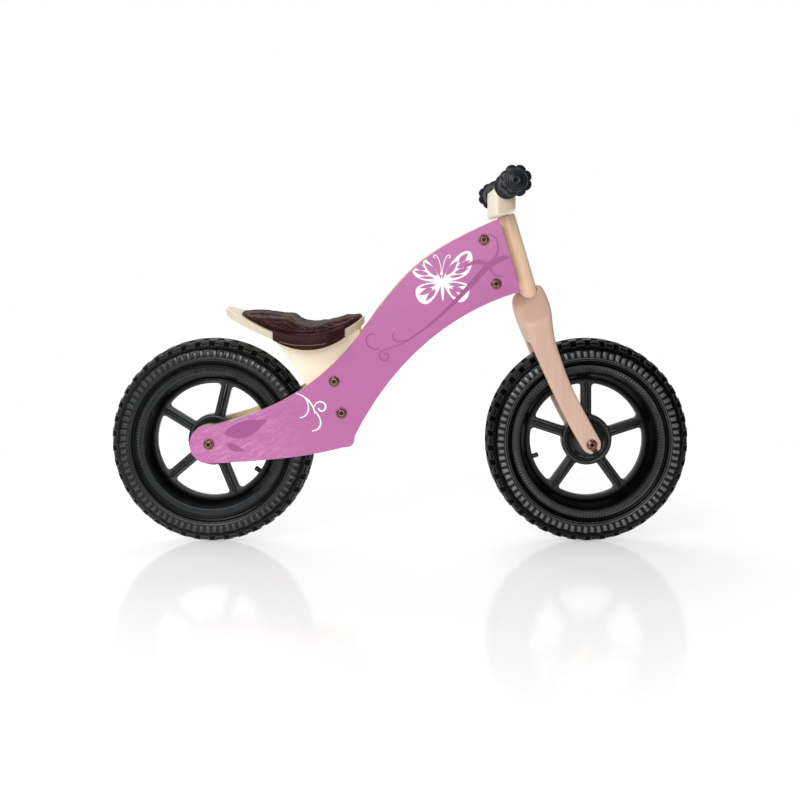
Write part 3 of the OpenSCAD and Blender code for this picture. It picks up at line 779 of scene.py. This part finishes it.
for end, axle, first_spoke, valve_angle, tyre_paint, rim_paint in (
        ("front", FRONT_AXLE, 90, 198, TYRE_FRONT, RIM_FRONT),
        ("rear", REAR_AXLE, 76.5, -35, TYRE_REAR, RIM_REAR)):
    wheel = end + "_wheel"
    tyre(end + "_tyre_look", axle, tyre_paint, wheel)
    rim(end + "_rim_look", axle, first_spoke, rim_paint, wheel)
    valve(end + "_valve_cap_look", axle, valve_angle, TUBE_RUBBER, wheel)
    for part, paint in (("inner_tube", TUBE_RUBBER), ("valve", TUBE_RUBBER), ("bearings", ZINC),
                        ("axle_sleeve", ZINC), ("axle_spacers", ZINC)):
        give(nodes[end + "_" + part], paint)


# ------------------------------------------------------------- wooden parts

for node, paint, width in (
        ("panel_right", PINK, 1.4), ("panel_left", PINK, 1.4), ("head_block", BIRCH, 0.8),
        ("seat_cheek_right", BIRCH, 1.0), ("seat_cheek_left", BIRCH, 1.0), ("seat_block", BIRCH, 0.8)):
    soften(node, width)
    give(nodes[node], paint)
for node, paint in (("head_tube", TUBE_WOOD), ("handlebar", BLACK_PAINT)):
    give(nodes[node], paint).data.shade_smooth()
for node, paint in (("handlebar_screws", BRONZE), ("seat_screws", ZINC), ("steering_rod", ZINC),
                    ("rod_nuts", ZINC), ("head_bushes", NYLON)):
    give(nodes[node], paint)


def shoulder(x, y, z):
    """Full in the fork's crown, slight in its legs and nothing at its socket and tips."""
    ahead = (x - STEERING_FOOT[0]) * math.cos(HEAD_TILT) + (z - STEERING_FOOT[1]) * math.sin(HEAD_TILT)
    height = 0.2 * smooth_step(z, 190, 230) + 0.8 * smooth_step(z, 275, 310)
    return height * smooth_step(math.hypot(ahead, y), 15, 22)


give(carved("fork_look", ["fork_crown", "fork_leg_right", "fork_leg_left"], 1.5, 10, shoulder),
     FORK_WOOD, "steering")


def rod(at, radius, start, end, tilt=0.0):
    """A cylindrical cutter: along Y about y = 0, or up from a point along a tilted axis."""
    bpy.ops.mesh.primitive_cylinder_add(vertices=64, radius=radius * MM, depth=(end - start) * MM)
    if tilt:
        turn = Matrix.Rotation(-tilt, 4, "Y") @ Matrix.Translation((0, 0, (start + end) / 2 * MM))
    else:
        turn = Matrix.Rotation(math.pi / 2, 4, "X")
    bpy.context.object.data.transform(Matrix.Translation((at[0] * MM, 0, at[1] * MM)) @ turn)
    return bpy.context.object


def handle_block():
    """Block with well rounded corners, a groove for the bar and a well for the rod's nut."""
    x0, x1, half, top = 137, 166, 70, 526
    corners = [(x0, 480.4), (x1, 489.0), (x1, top), (x0, top)]
    points = [(x, y, z) for y in (-half, half) for x, z in corners]
    faces = [(0, 1, 2, 3), (7, 6, 5, 4)] + [(i, (i + 1) % 4, (i + 1) % 4 + 4, i + 4) for i in range(4)]
    obj = make("handle_block_look", points, faces, flat=True)
    modifier(obj, "BEVEL", width=6.5 * MM, segments=6, limit_method="NONE")
    applied(obj)
    for cutter in (rod(BAR, 11.03, -80, 80), rod(STEERING_FOOT, 11, 370, 385, HEAD_TILT),
                   rod(STEERING_FOOT, 5, 330, 400, HEAD_TILT)):
        modifier(obj, "BOOLEAN", object=cutter, operation="DIFFERENCE", solver="EXACT")
        applied(obj)
        bpy.data.objects.remove(cutter)
    obj.data.shade_smooth()
    modifier(obj, "EDGE_SPLIT", split_angle=math.radians(35))
    applied(obj)
    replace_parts(obj, "handle_block")
    return give(obj, BLOCK_WOOD, "steering")


handle_block()
give(carved("seat_board_look", ["seat_board"], 1.2, 5), SEAT_PLY, "seat")


# ---------------------------------------------------------------- fasteners

def bolt(node, places, face, body, inset):
    """Domed furniture bolt heads with a rolled rim and a hexagon socket, on a face at y."""
    dome = [(7.9, 0.0), (8.0, 0.7), (7.6, 1.5), (6.9, 2.0), (6.3, 2.05), (5.9, 1.75), (5.5, 2.2),
            (4.4, 2.85), (3.4, 3.0)]
    sides, outward = 48, math.copysign(1, face)
    rings = [[(r, out)] * sides for r, out in [(4.0, -inset), (4.0, 0.0)] + dome]
    for r, out in [(3.0, 2.9), (2.85, 1.2), (0.01, 1.0)]:
        hexagon = [r / math.cos((math.tau * j / sides + math.pi / 6) % (math.pi / 3) - math.pi / 6)
                   for j in range(sides)]
        rings.append([(h * 0.95, out) for h in hexagon])
    made = []
    for x, z in places:
        points = []
        for level in rings:
            points += [(x + r * c, face + outward * out, z + r * s)
                       for (r, out), (c, s) in zip(level, ring(sides))]
        made.append(make(node, points, capped_faces(len(rings), sides)))
    obj = join(node + "_look", made)
    modifier(obj, "EDGE_SPLIT", split_angle=math.radians(45))
    applied(obj)
    obj.data.materials.append(BRONZE.material)
    obj.data.materials.append(BRONZE_SHADE.material)
    # The groove round each head and its hexagon socket take the darker bronze: painted shade in these
    # recesses.
    for polygon in obj.data.polygons:
        centre = polygon.center / MM
        near = min(math.hypot(centre.x - x, centre.z - z) for x, z in places)
        polygon.material_index = 1 if 5.6 < near < 6.4 or near < 2.95 else 0
    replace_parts(obj, node)
    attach(obj, body)


for part, side in (("bolt", -1), ("nut", 1)):
    for holder, places, face, body in (
            ("head", [(122, 449), (140, 385)], PANEL_FACE, "frame"),
            ("seat", [(-95.9, 242.9), (-85.2, 197)], PANEL_FACE, "frame"),
            ("rear_axle", [REAR_AXLE], PANEL_FACE, "frame"),
            ("front_axle", [FRONT_AXLE], FORK_FACE, "steering")):
        inset = 2 * face - 1 if part == "bolt" else 0.5   # a bolt's shank goes right through
        bolt(f"{holder}_{part}{'s' if len(places) > 1 else ''}", places, side * face, body, inset)


# -------------------------------------------------------------------- grips

def grip(name, side):
    """Round inner flange, ribbed sleeve, eight-lobed outer flange, stepped end."""
    flange = [(11.1, 71.2), (17.4, 70.8), (18.8, 71.8), (18.8, 73.8), (17.4, 74.9), (15.2, 75.4)]
    rib = [(14.5, 0.0), (15.6, 0.6), (15.7, 4.6), (14.5, 5.2), (14.3, 7.4)]
    sleeve = [(r, 78.0 + 9.6 * i + y) for i in range(9) for r, y in rib]
    flower = [(14.8, 166.6), (20.6, 167.2), (21.8, 168.4), (21.8, 173.2), (20.8, 174.6), (15.4, 175.2)]
    dome = [(14.2, 174.9), (13.6, 175.2), (13.2, 176.4), (11.8, 176.9), (11.4, 176.7), (11.0, 177.2),
            (10.4, 178.2), (8.8, 178.7), (8.2, 178.6), (7.6, 179.2), (5.6, 179.9), (2.2, 180.0),
            (1.7, 179.4), (1.5, 176.0), (0.01, 176.0)]
    section = flange + sleeve + flower + dome
    points, sides = [], 160
    for r, y in section:
        for j in range(sides):
            a = math.tau * j / sides
            cut = 3.4 * (1 - abs(math.sin(a * 4)) ** 0.55) if r > 19 else 0.0   # between eight lobes
            points.append((BAR[0] + (r - cut) * math.cos(a), side * y, BAR[1] + (r - cut) * math.sin(a)))
    obj = make(name, points, capped_faces(len(section), sides))
    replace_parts(obj, name.replace("_look", ""))
    give(obj, GRIP, "steering")


grip("grip_right_look", -1)
grip("grip_left_look", 1)


# --------------------------------------------------------------------- seat

def board_face(x, radius):
    """Height at x of the seat board's face that bends at this radius."""
    joint = SEAT_ARC[0] - radius * math.sin(SEAT_TILT)
    if x < joint:
        return SEAT_ARC[1] - radius * math.cos(SEAT_TILT) + (joint - x) * math.tan(SEAT_TILT)
    return SEAT_ARC[1] - math.sqrt(radius * radius - (x - SEAT_ARC[0]) ** 2)


def board_top(x):
    """Height of the seat board's top at x."""
    return board_face(x, SEAT_ARC_RADIUS - BOARD)


def board_under(x):
    """Height of the seat board's underside at x."""
    return board_face(x, SEAT_ARC_RADIUS)


def plan_half_width(x, rear, front, half, end):
    """Half-width of a plan with straight sides and round ends of the given length."""
    inset = max(0.0, rear + end - x, x - (front - end))
    return half * math.sqrt(max(0.0, 1 - (inset / end) ** 2))


def pad_half_width(x):
    return plan_half_width(x, -236.0, -57.0, 70.5, 60.0)


def board_half_width(x):
    return plan_half_width(x, -259.0, -53.0, BOARD_HALF, 62.0)


def pad_crown(x):
    """Height of the pad's top along the middle, above the board."""
    knots = ((-236, 7), (-229, 10), (-201, 14), (-181, 19.5), (-163, 23.5), (-147, 15), (-129, 13),
             (-112, 13), (-91, 13.5), (-75, 15), (-63, 13.5), (-57, 8))
    for (x0, h0), (x1, h1) in zip(knots, knots[1:]):
        if x <= x1:
            return h0 + (h1 - h0) * smooth_step(x, x0, x1)
    return knots[-1][1]


FOLDS = (  # creases in plan: start x, y, end x, y and depth
    (-150, -46, -222, -34, 1.6), (-146, -62, -214, -57, 1.8), (-158, -18, -228, -12, 1.2),
    (-118, -48, -68, -30, 1.6), (-122, -62, -74, -54, 1.8), (-110, -18, -64, -8, 1.2),
    (-160, -28, -130, -68, 2.0), (-128, -68, -106, -32, 2.0), (-146, 44, -216, 40, 1.6),
    (-150, 60, -210, 60, 1.8), (-160, 16, -226, 8, 1.2), (-120, 46, -70, 34, 1.6),
    (-118, 63, -76, 52, 1.8), (-112, 14, -66, 10, 1.2), (-156, 34, -134, 70, 2.0),
    (-130, 68, -108, 36, 2.0), (-140, -30, -146, 32, 1.4), (-126, -34, -124, 30, 1.2))


def folds(x, y):
    """Height in mm that the creases add at a point in plan: a cut, and a roll of leather beside it."""
    total = 0.0
    for x0, y0, x1, y1, depth in FOLDS:
        dx, dy = x1 - x0, y1 - y0
        length = math.hypot(dx, dy)
        along = ((x - x0) * dx + (y - y0) * dy) / length / length
        if -0.15 < along < 1.15:
            across = ((x - x0) * dy - (y - y0) * dx) / length + 2.2 * math.sin(along * 5 + x0)
            roll = 0.6 * math.exp(-((across - 5.5) / 4.0) ** 2)
            total += depth * band(along, 0.12, 0.95, 0.2) * (roll - math.exp(-(across / 1.8) ** 2))
    return total


CLOTH_FRAMES = 20
CLOTH_REACH = 4.0     # furthest that the simulation may move a point
PAD_REACH = 73.5      # furthest that the pad may stand out sideways


def cushion_pad():
    """A plump leather pad: a lofted form, blown up by a short cloth simulation."""
    rows, sides = 44, 40
    points = []
    for i in range(rows):
        x = -235.6 + 178.2 * i / (rows - 1)
        half, crown, low = pad_half_width(x), pad_crown(x), board_top(x) + 0.6
        for j in range(sides):
            a = math.tau * j / sides
            y = half * math.copysign(abs(math.cos(a)) ** 0.55, math.cos(a))
            lift = 0.5 + 0.5 * math.copysign(abs(math.sin(a)) ** 0.75, math.sin(a))
            points.append((x, y, low + lift * crown))
    obj = make("seat_pad_look", points, capped_faces(rows, sides))
    modifier(obj, "REMESH", mode="VOXEL", voxel_size=4 * MM)
    applied(obj)
    cloth = modifier(obj, "CLOTH")
    cloth.settings.use_pressure = True
    cloth.settings.uniform_pressure_force = 4
    cloth.settings.effector_weights.gravity = 0
    scene.frame_start, scene.frame_end = 1, CLOTH_FRAMES
    for step in range(1, CLOTH_FRAMES + 1):
        scene.frame_set(step)
    blown = obj.evaluated_get(bpy.context.evaluated_depsgraph_get())
    moved = [v.co.copy() for v in blown.data.vertices]
    obj.modifiers.clear()
    scene.frame_set(1)
    for vertex, new in zip(obj.data.vertices, moved):
        step = new - vertex.co
        if step.length > CLOTH_REACH * MM:
            step *= CLOTH_REACH * MM / step.length
        vertex.co += step
    modifier(obj, "SUBSURF", levels=2, render_levels=2)
    applied(obj)
    obj.data.update()
    normals = [v.normal.copy() for v in obj.data.vertices]
    for vertex, normal in zip(obj.data.vertices, normals):
        x, y, z = (v / MM for v in vertex.co)
        over = z - board_top(x)
        small = noise.noise(Vector((x / 12, y / 20, 3.1)))
        small += 0.8 * abs(noise.noise(Vector((x / 5, y / 8, 8.7))))
        seam = -1.5 * math.exp(-((over - 8.6) / 0.8) ** 2)
        pucker = 0.55 * math.sin(x / 0.75) * math.exp(-((over - 11.0) / 2.2) ** 2)
        lift = smooth_step(over, 1.5, 9) * (0.8 * small + folds(x, y))
        lift += (seam + pucker) * band(abs(y), 60, 90, 6)
        vertex.co += normal * lift * MM
        vertex.co.z = max(vertex.co.z, (board_top(x) + 0.35) * MM)
        vertex.co.y = min(PAD_REACH * MM, max(-PAD_REACH * MM, vertex.co.y))
    obj.data.shade_smooth()
    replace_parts(obj, "seat_cushion")
    return give(obj, LEATHER, "seat")


def flap_edge(x):
    """Height of the piping on the flap's lower edge, level with the board's underside."""
    return board_under(x) + 0.4


def belly(x):
    """How far the leather sags below the board."""
    t = (x + 181) / 101
    return 1.0 + 6.4 * max(0.0, math.sin(math.pi * min(1.0, max(0.0, t)))) ** 0.7


def flap(side):
    """Leather from under the pad, over the board's long edge and in underneath.

    Widths are drawn for the board's full width, and follow its plan inwards near the ends."""
    rows = 61
    points = []
    for i in range(rows):
        x = -181.5 + 102.0 * i / (rows - 1)
        top, edge, under = board_top(x), flap_edge(x), board_under(x)
        low = under - belly(x)
        wave = 0.3 * noise.noise(Vector((x / 9, side * 3.0, 0.5)))
        inset = BOARD_HALF - board_half_width(x)
        outer = [(69.0, top + 6.2), (71.0, top + 5.9), (72.6, top + 4.8), (73.3 + wave, top + 2.2),
                 (73.6 + wave, (top + edge) / 2), (73.5, edge + 1.6), (72.9, edge - 0.4),
                 (71.6, (edge + low) / 2 - 0.4), (67.0, low + 0.3), (60.0, low),
                 (52.0, (low + under) / 2), (46.0, under - 0.4)]
        inner = [(46.5, under - 0.2), (60.0, min(under - 0.2, low + 1.4)),
                 (66.0, min(under - 0.2, low + 1.7)), (70.4, edge - 1.2), (71.2, edge + 1),
                 (71.4, top + 2.0), (69.6, top + 4.6)]
        for y, z in outer + inner:
            points.append((x, side * (y - inset), z))
    obj = make("flap", points, capped_faces(rows, len(outer) + len(inner)))
    modifier(obj, "BEVEL", width=0.6 * MM, segments=2, limit_method="ANGLE", angle_limit=math.radians(60))
    return applied(obj)


STITCH_HEIGHT = 10.4   # of the seam above the board


def stitches(leather, side):
    """Short thread stitches in the pad's side, laid on its mesh wherever it dips or bulges."""
    def sewn(x, out):
        start = Vector((x, side * 85, board_top(x) + STITCH_HEIGHT)) * MM
        place, normal, _, _ = leather.ray_cast(start, Vector((0, -side, 0)))
        return (place + normal * out * MM) / MM

    made = []
    pitch, x = 3.2, -196.0
    while x < -84.0:
        made.append(tube("stitch", [sewn(x, 0), sewn(x + 1, 0.3), sewn(x + 2, 0)], 0.38, 6))
        x += pitch
    return made


def piping(side):
    """A thin raw edge along the flap's fold."""
    return tube("edge", [(x, side * (board_half_width(x) + 3.1), flap_edge(x) - 0.2)
                         for x in range(-174, -102, 3)], 0.7)


pad = cushion_pad().data
leather = BVHTree.FromPolygons([v.co for v in pad.vertices], [p.vertices for p in pad.polygons])
give(join("seat_flaps_look", [flap(-1), flap(1)]), LEATHER, "seat")
give(join("seat_flap_edges", [piping(-1), piping(1)]), PIPING, "seat")
give(join("seat_stitches", stitches(leather, -1) + stitches(leather, 1)), THREAD, "seat")


# ------------------------------------------------------------------- prints

def ribbon(path, widths, level):
    """A flat printed stroke on both panels' faces, from side-view points."""
    made = []
    count = len(path)
    for side in (-1, 1):
        points = []
        for i, (x, z) in enumerate(path):
            x0, z0 = path[max(i - 1, 0)]
            x1, z1 = path[min(i + 1, count - 1)]
            length = math.hypot(x1 - x0, z1 - z0) or 1
            k = i / (count - 1) * (len(widths) - 1)
            j = min(int(k), len(widths) - 2)
            half = (widths[j] + (widths[j + 1] - widths[j]) * (k - j)) / 2
            nx, nz = -(z1 - z0) / length * half, (x1 - x0) / length * half
            for sx, sz, y in ((nx, nz, level), (-nx, -nz, level), (-nx, -nz, -0.05), (nx, nz, -0.05)):
                points.append((x + sx, side * (PANEL_FACE + y), z + sz))
        made.append(make("ribbon", points, capped_faces(count, 4), flat=True))
    return made


def printed(outlines, at, turn, level):
    """Flat printed shapes drawn about a point on both panels; outlines within others are gaps."""
    made = []
    for side in (-1, 1):
        mesh = flat_plate("print", outlines, level / 2 + 0.03, 0.0)
        mesh.transform(Matrix.Rotation(math.radians(turn), 4, "Z"))
        into_side_view(mesh, at[0], at[1], side * (PANEL_FACE + level / 2))
        made.append(finish_mesh("print", mesh, flat=True))
    return made


def trimmed(objects, near, far):
    """Cuts prints off along a line of the side view, keeping what lies below it."""
    normal = Vector((near[1] - far[1], 0, far[0] - near[0]))
    for obj in objects:
        work = bmesh.new()
        work.from_mesh(obj.data)
        everything = work.verts[:] + work.edges[:] + work.faces[:]
        cut = bmesh.ops.bisect_plane(work, geom=everything, clear_outer=True, plane_no=normal,
                                     plane_co=(near[0] * MM, 0, near[1] * MM))["geom_cut"]
        bmesh.ops.holes_fill(work, edges=[e for e in cut if isinstance(e, bmesh.types.BMEdge)])
        work.to_mesh(obj.data)
        work.free()
    return objects


def strokes(level, *pairs):
    """Ribbons laid a hair above one another, from (path, widths) pairs."""
    made = []
    for i, (path, widths) in enumerate(pairs):
        made += ribbon(path, widths, level + 0.012 * i)
    return made


def petal(root, tip, fat, bend=0.0, count=14):
    """Closed leaf outline from root to tip."""
    dx, dy = tip[0] - root[0], tip[1] - root[1]
    length = math.hypot(dx, dy)
    ux, uy = dx / length, dy / length
    sides = ([], [])
    for i in range(count + 1):
        t = i / count
        w = fat * math.sin(math.pi * t ** 0.8)
        c = bend * math.sin(math.pi * t)
        for side, points in zip((1, -1), sides):
            off = c + side * w
            points.append((root[0] + dx * t - uy * off, root[1] + dy * t + ux * off))
    return sides[0] + sides[1][-2:0:-1]


WINGS = (   # outline, its drop-shaped gaps as root, tip and fatness, and how far it stands out
    (chain((1.2, 2), ((10, 20), (24, 40), (39, 41), 16), ((49, 41), (47, 24), (42, 14), 12),
           ((37, 1), (14, -3), (1.2, -1), 14)),
     (((6, 7), (25, 28), 4.4), ((26, 24), (40, 38), 4.2), ((23, 16.5), (43.5, 27.5), 3.9),
      ((19, 9.5), (40.5, 16), 3.3), ((11, 4), (33, 6.5), 2.1)), 0.1),
    (chain((1.2, -1), ((14, -2), (38, -2), (39, -13), 14), ((41, -26), (30, -35), (23, -33), 12),
           ((14, -30), (7, -18), (1.2, -6), 14)),
     (((9, -5.5), (35, -9.5), 2.7), ((14, -10.5), (35, -20), 3.7), ((10, -12), (25, -29), 3.7)), 0.12))
FEELER = chain((0.4, 12), ((2, 24), (5, 36), (10, 37), 10), ((13, 37), (13, 33), (10, 33), 6))


def butterfly(at, turn):
    """A plain garden butterfly: four rounded wings with drop-shaped gaps, a body and feelers."""
    made = []
    for side in (-1, 1):
        for outline, gaps, level in WINGS:
            shapes = [outline] + [petal(*gap) for gap in gaps]
            made += printed([[(side * x, y) for x, y in shape] for shape in shapes], at, turn, level)
        made += ribbon([(at[0] + side * x, at[1] + y) for x, y in FEELER], (1.0, 1.2, 1.4), 0.12)
    made += printed([petal((0, -31), (0, 9), 2.3)], at, turn, 0.14)
    made += printed([petal((0, 7), (0, 14), 2.1)], at, turn, 0.16)
    return made


def on_panels(name, made, paint):
    give(join(name, made, flat=True), paint, "frame")


on_panels("print_butterfly", trimmed(butterfly((61, 390), 3), (5.5, 392.6), (40.9, 423.6)), PRINT_WHITE)
on_panels("print_sprig", strokes(
    0.12, (cubic((-152, 226), (-138, 222), (-126, 212), (-124, 196), 14), (0.8, 2.6, 1.4)),
    (arc((-115, 205), 10.5, 200, -170, 26, 3.5), (1.2, 2.6, 2.2)),
    (cubic((-140, 221), (-130, 210), (-130, 192), (-146, 190), 14), (1.0, 2.2, 1.2)),
    (cubic((-124, 200), (-112, 188), (-112, 172), (-128, 171), 14), (1.4, 2.6, 1.6))), PRINT_WHITE)
vine = strokes(
    0.18, (chain((158, 424.5), ((147, 422), (134, 417), (126, 409), 10),
                 ((96, 376), (70, 346), (36, 320), 20), ((12, 302), (0, 294), (-24, 289), 12)),
           (5, 9, 9, 6.5, 5, 3, 2, 1.2)),
    (cubic((128, 412), (120, 418), (104, 421), (90, 404), 14), (4, 7, 5, 1.2)),
    (cubic((130, 414), (146, 428), (146, 444), (136, 455), 16), (4, 3.4, 2.4, 1.8)),
    (arc((129, 450), 7.6, 40, 350, 18, 2.4), (2.0, 1.4, 1.0)),
    (cubic((131, 408), (134, 400), (136, 396), (150, 396), 12), (3.4, 2.6, 1.6)),
    (arc((-38, 305), 16, -60, -290, 26, 6), (1.6, 2.6, 1.4)),
    (arc((-22, 280), 9, 110, 480, 26, 3), (1.6, 2.6, 2.0)),
    (cubic((10, 303), (-10, 296), (-14, 308), (-8, 316), 14), (1.6, 2.4, 1.4)))
for leaf in (petal((-256, 167), (-193, 187), 12, -3.0), petal((-252, 153), (-226, 142), 5, -2.0)):
    vine += printed([leaf], (0, 0), 0, 0.1)
on_panels("print_vine", vine, PRINT_DARK)


# -------------------------------------------------------------------- stage

def floor():
    """A pale glossy disc that lightens towards its rim, so it melts into the backdrop."""
    mesh = bpy.data.meshes.new("floor")
    mesh.from_pydata([(x, y, 0) for x, y in arc((0, 0), 1.05, 0, 360, 96)[:-1]], [], [tuple(range(96))])
    obj = placed("floor", mesh)
    obj.location.z = -0.0004
    paint = Paint("studio_floor", Specular_IOR_Level=0.6)
    haze = paint.noise(3, 2)
    paint.set("Base Color", paint.ramp(haze, (0.3, 0.6), (0.7, 0.62)))
    paint.set("Roughness", paint.ramp(haze, (0.3, 0.1), (0.7, 0.13)))
    from_middle = paint.node("ShaderNodeVectorMath", {0: paint.place}, operation="LENGTH").outputs["Value"]
    glow = paint.map_range(from_middle, 0.45, 1.0, 0.45, 0.75, interpolation_type="SMOOTHSTEP")
    paint.shader.inputs["Emission Color"].default_value = (1, 1, 1, 1)
    paint.set("Emission Strength", glow)
    mesh.materials.append(paint.material)


def soft_box(name, place, target, size, power):
    light = bpy.data.lights.new(name, "AREA")
    light.shape = "RECTANGLE"
    light.size, light.size_y = size
    light.energy = power
    obj = placed(name, light)
    obj.location = place
    obj.rotation_euler = (Vector(target) - Vector(place)).to_track_quat("-Z", "Y").to_euler()


def studio_world():
    """White where the camera sees it; as light, dimmer on the bike's right and ahead of it."""
    scene.world = bpy.data.worlds.new("studio")
    sky = Wiring(scene.world)
    x, y, _ = sky.split(sky.node("ShaderNodeTexCoord").outputs["Generated"])
    light = sky.times(sky.map_range(y, -0.7, 0.3, 0.32, 0.75), sky.map_range(x, -0.3, 0.8, 1.1, 0.45))
    seen = sky.node("ShaderNodeLightPath").outputs["Is Camera Ray"]
    background = sky.tree.nodes["Background"]
    background.inputs["Color"].default_value = (1, 1, 1, 1)
    sky.tree.links.new(sky.math("MAXIMUM", light, seen), background.inputs["Strength"])


floor()
for name, place, target_height, size, power in (
        ("key", (-1.2, -2.0, 1.6), 0.25, (1.2, 1.0), 25),
        ("front", (-0.3, -2.7, 0.9), 0.25, (1.4, 0.7), 25),
        ("back", (0.0, 1.6, 2.2), 0.25, (2.2, 1.0), 18),
        ("rear", (-2.2, 0.2, 1.0), 0.3, (1.0, 1.2), 5)):
    soft_box(name, place, (0, 0, target_height), size, power)
studio_world()
scene.view_settings.view_transform = "Standard"

camera = bpy.data.cameras.new("camera")
camera.lens = 43.5
camera.sensor_width = 36
camera.shift_y = -145 / 800   # 145 of the photo's 800 pixels
scene.camera = placed("camera", camera)
scene.camera.location = (0, -1.45, 0.427)
scene.camera.rotation_euler = (math.pi / 2, 0, 0)
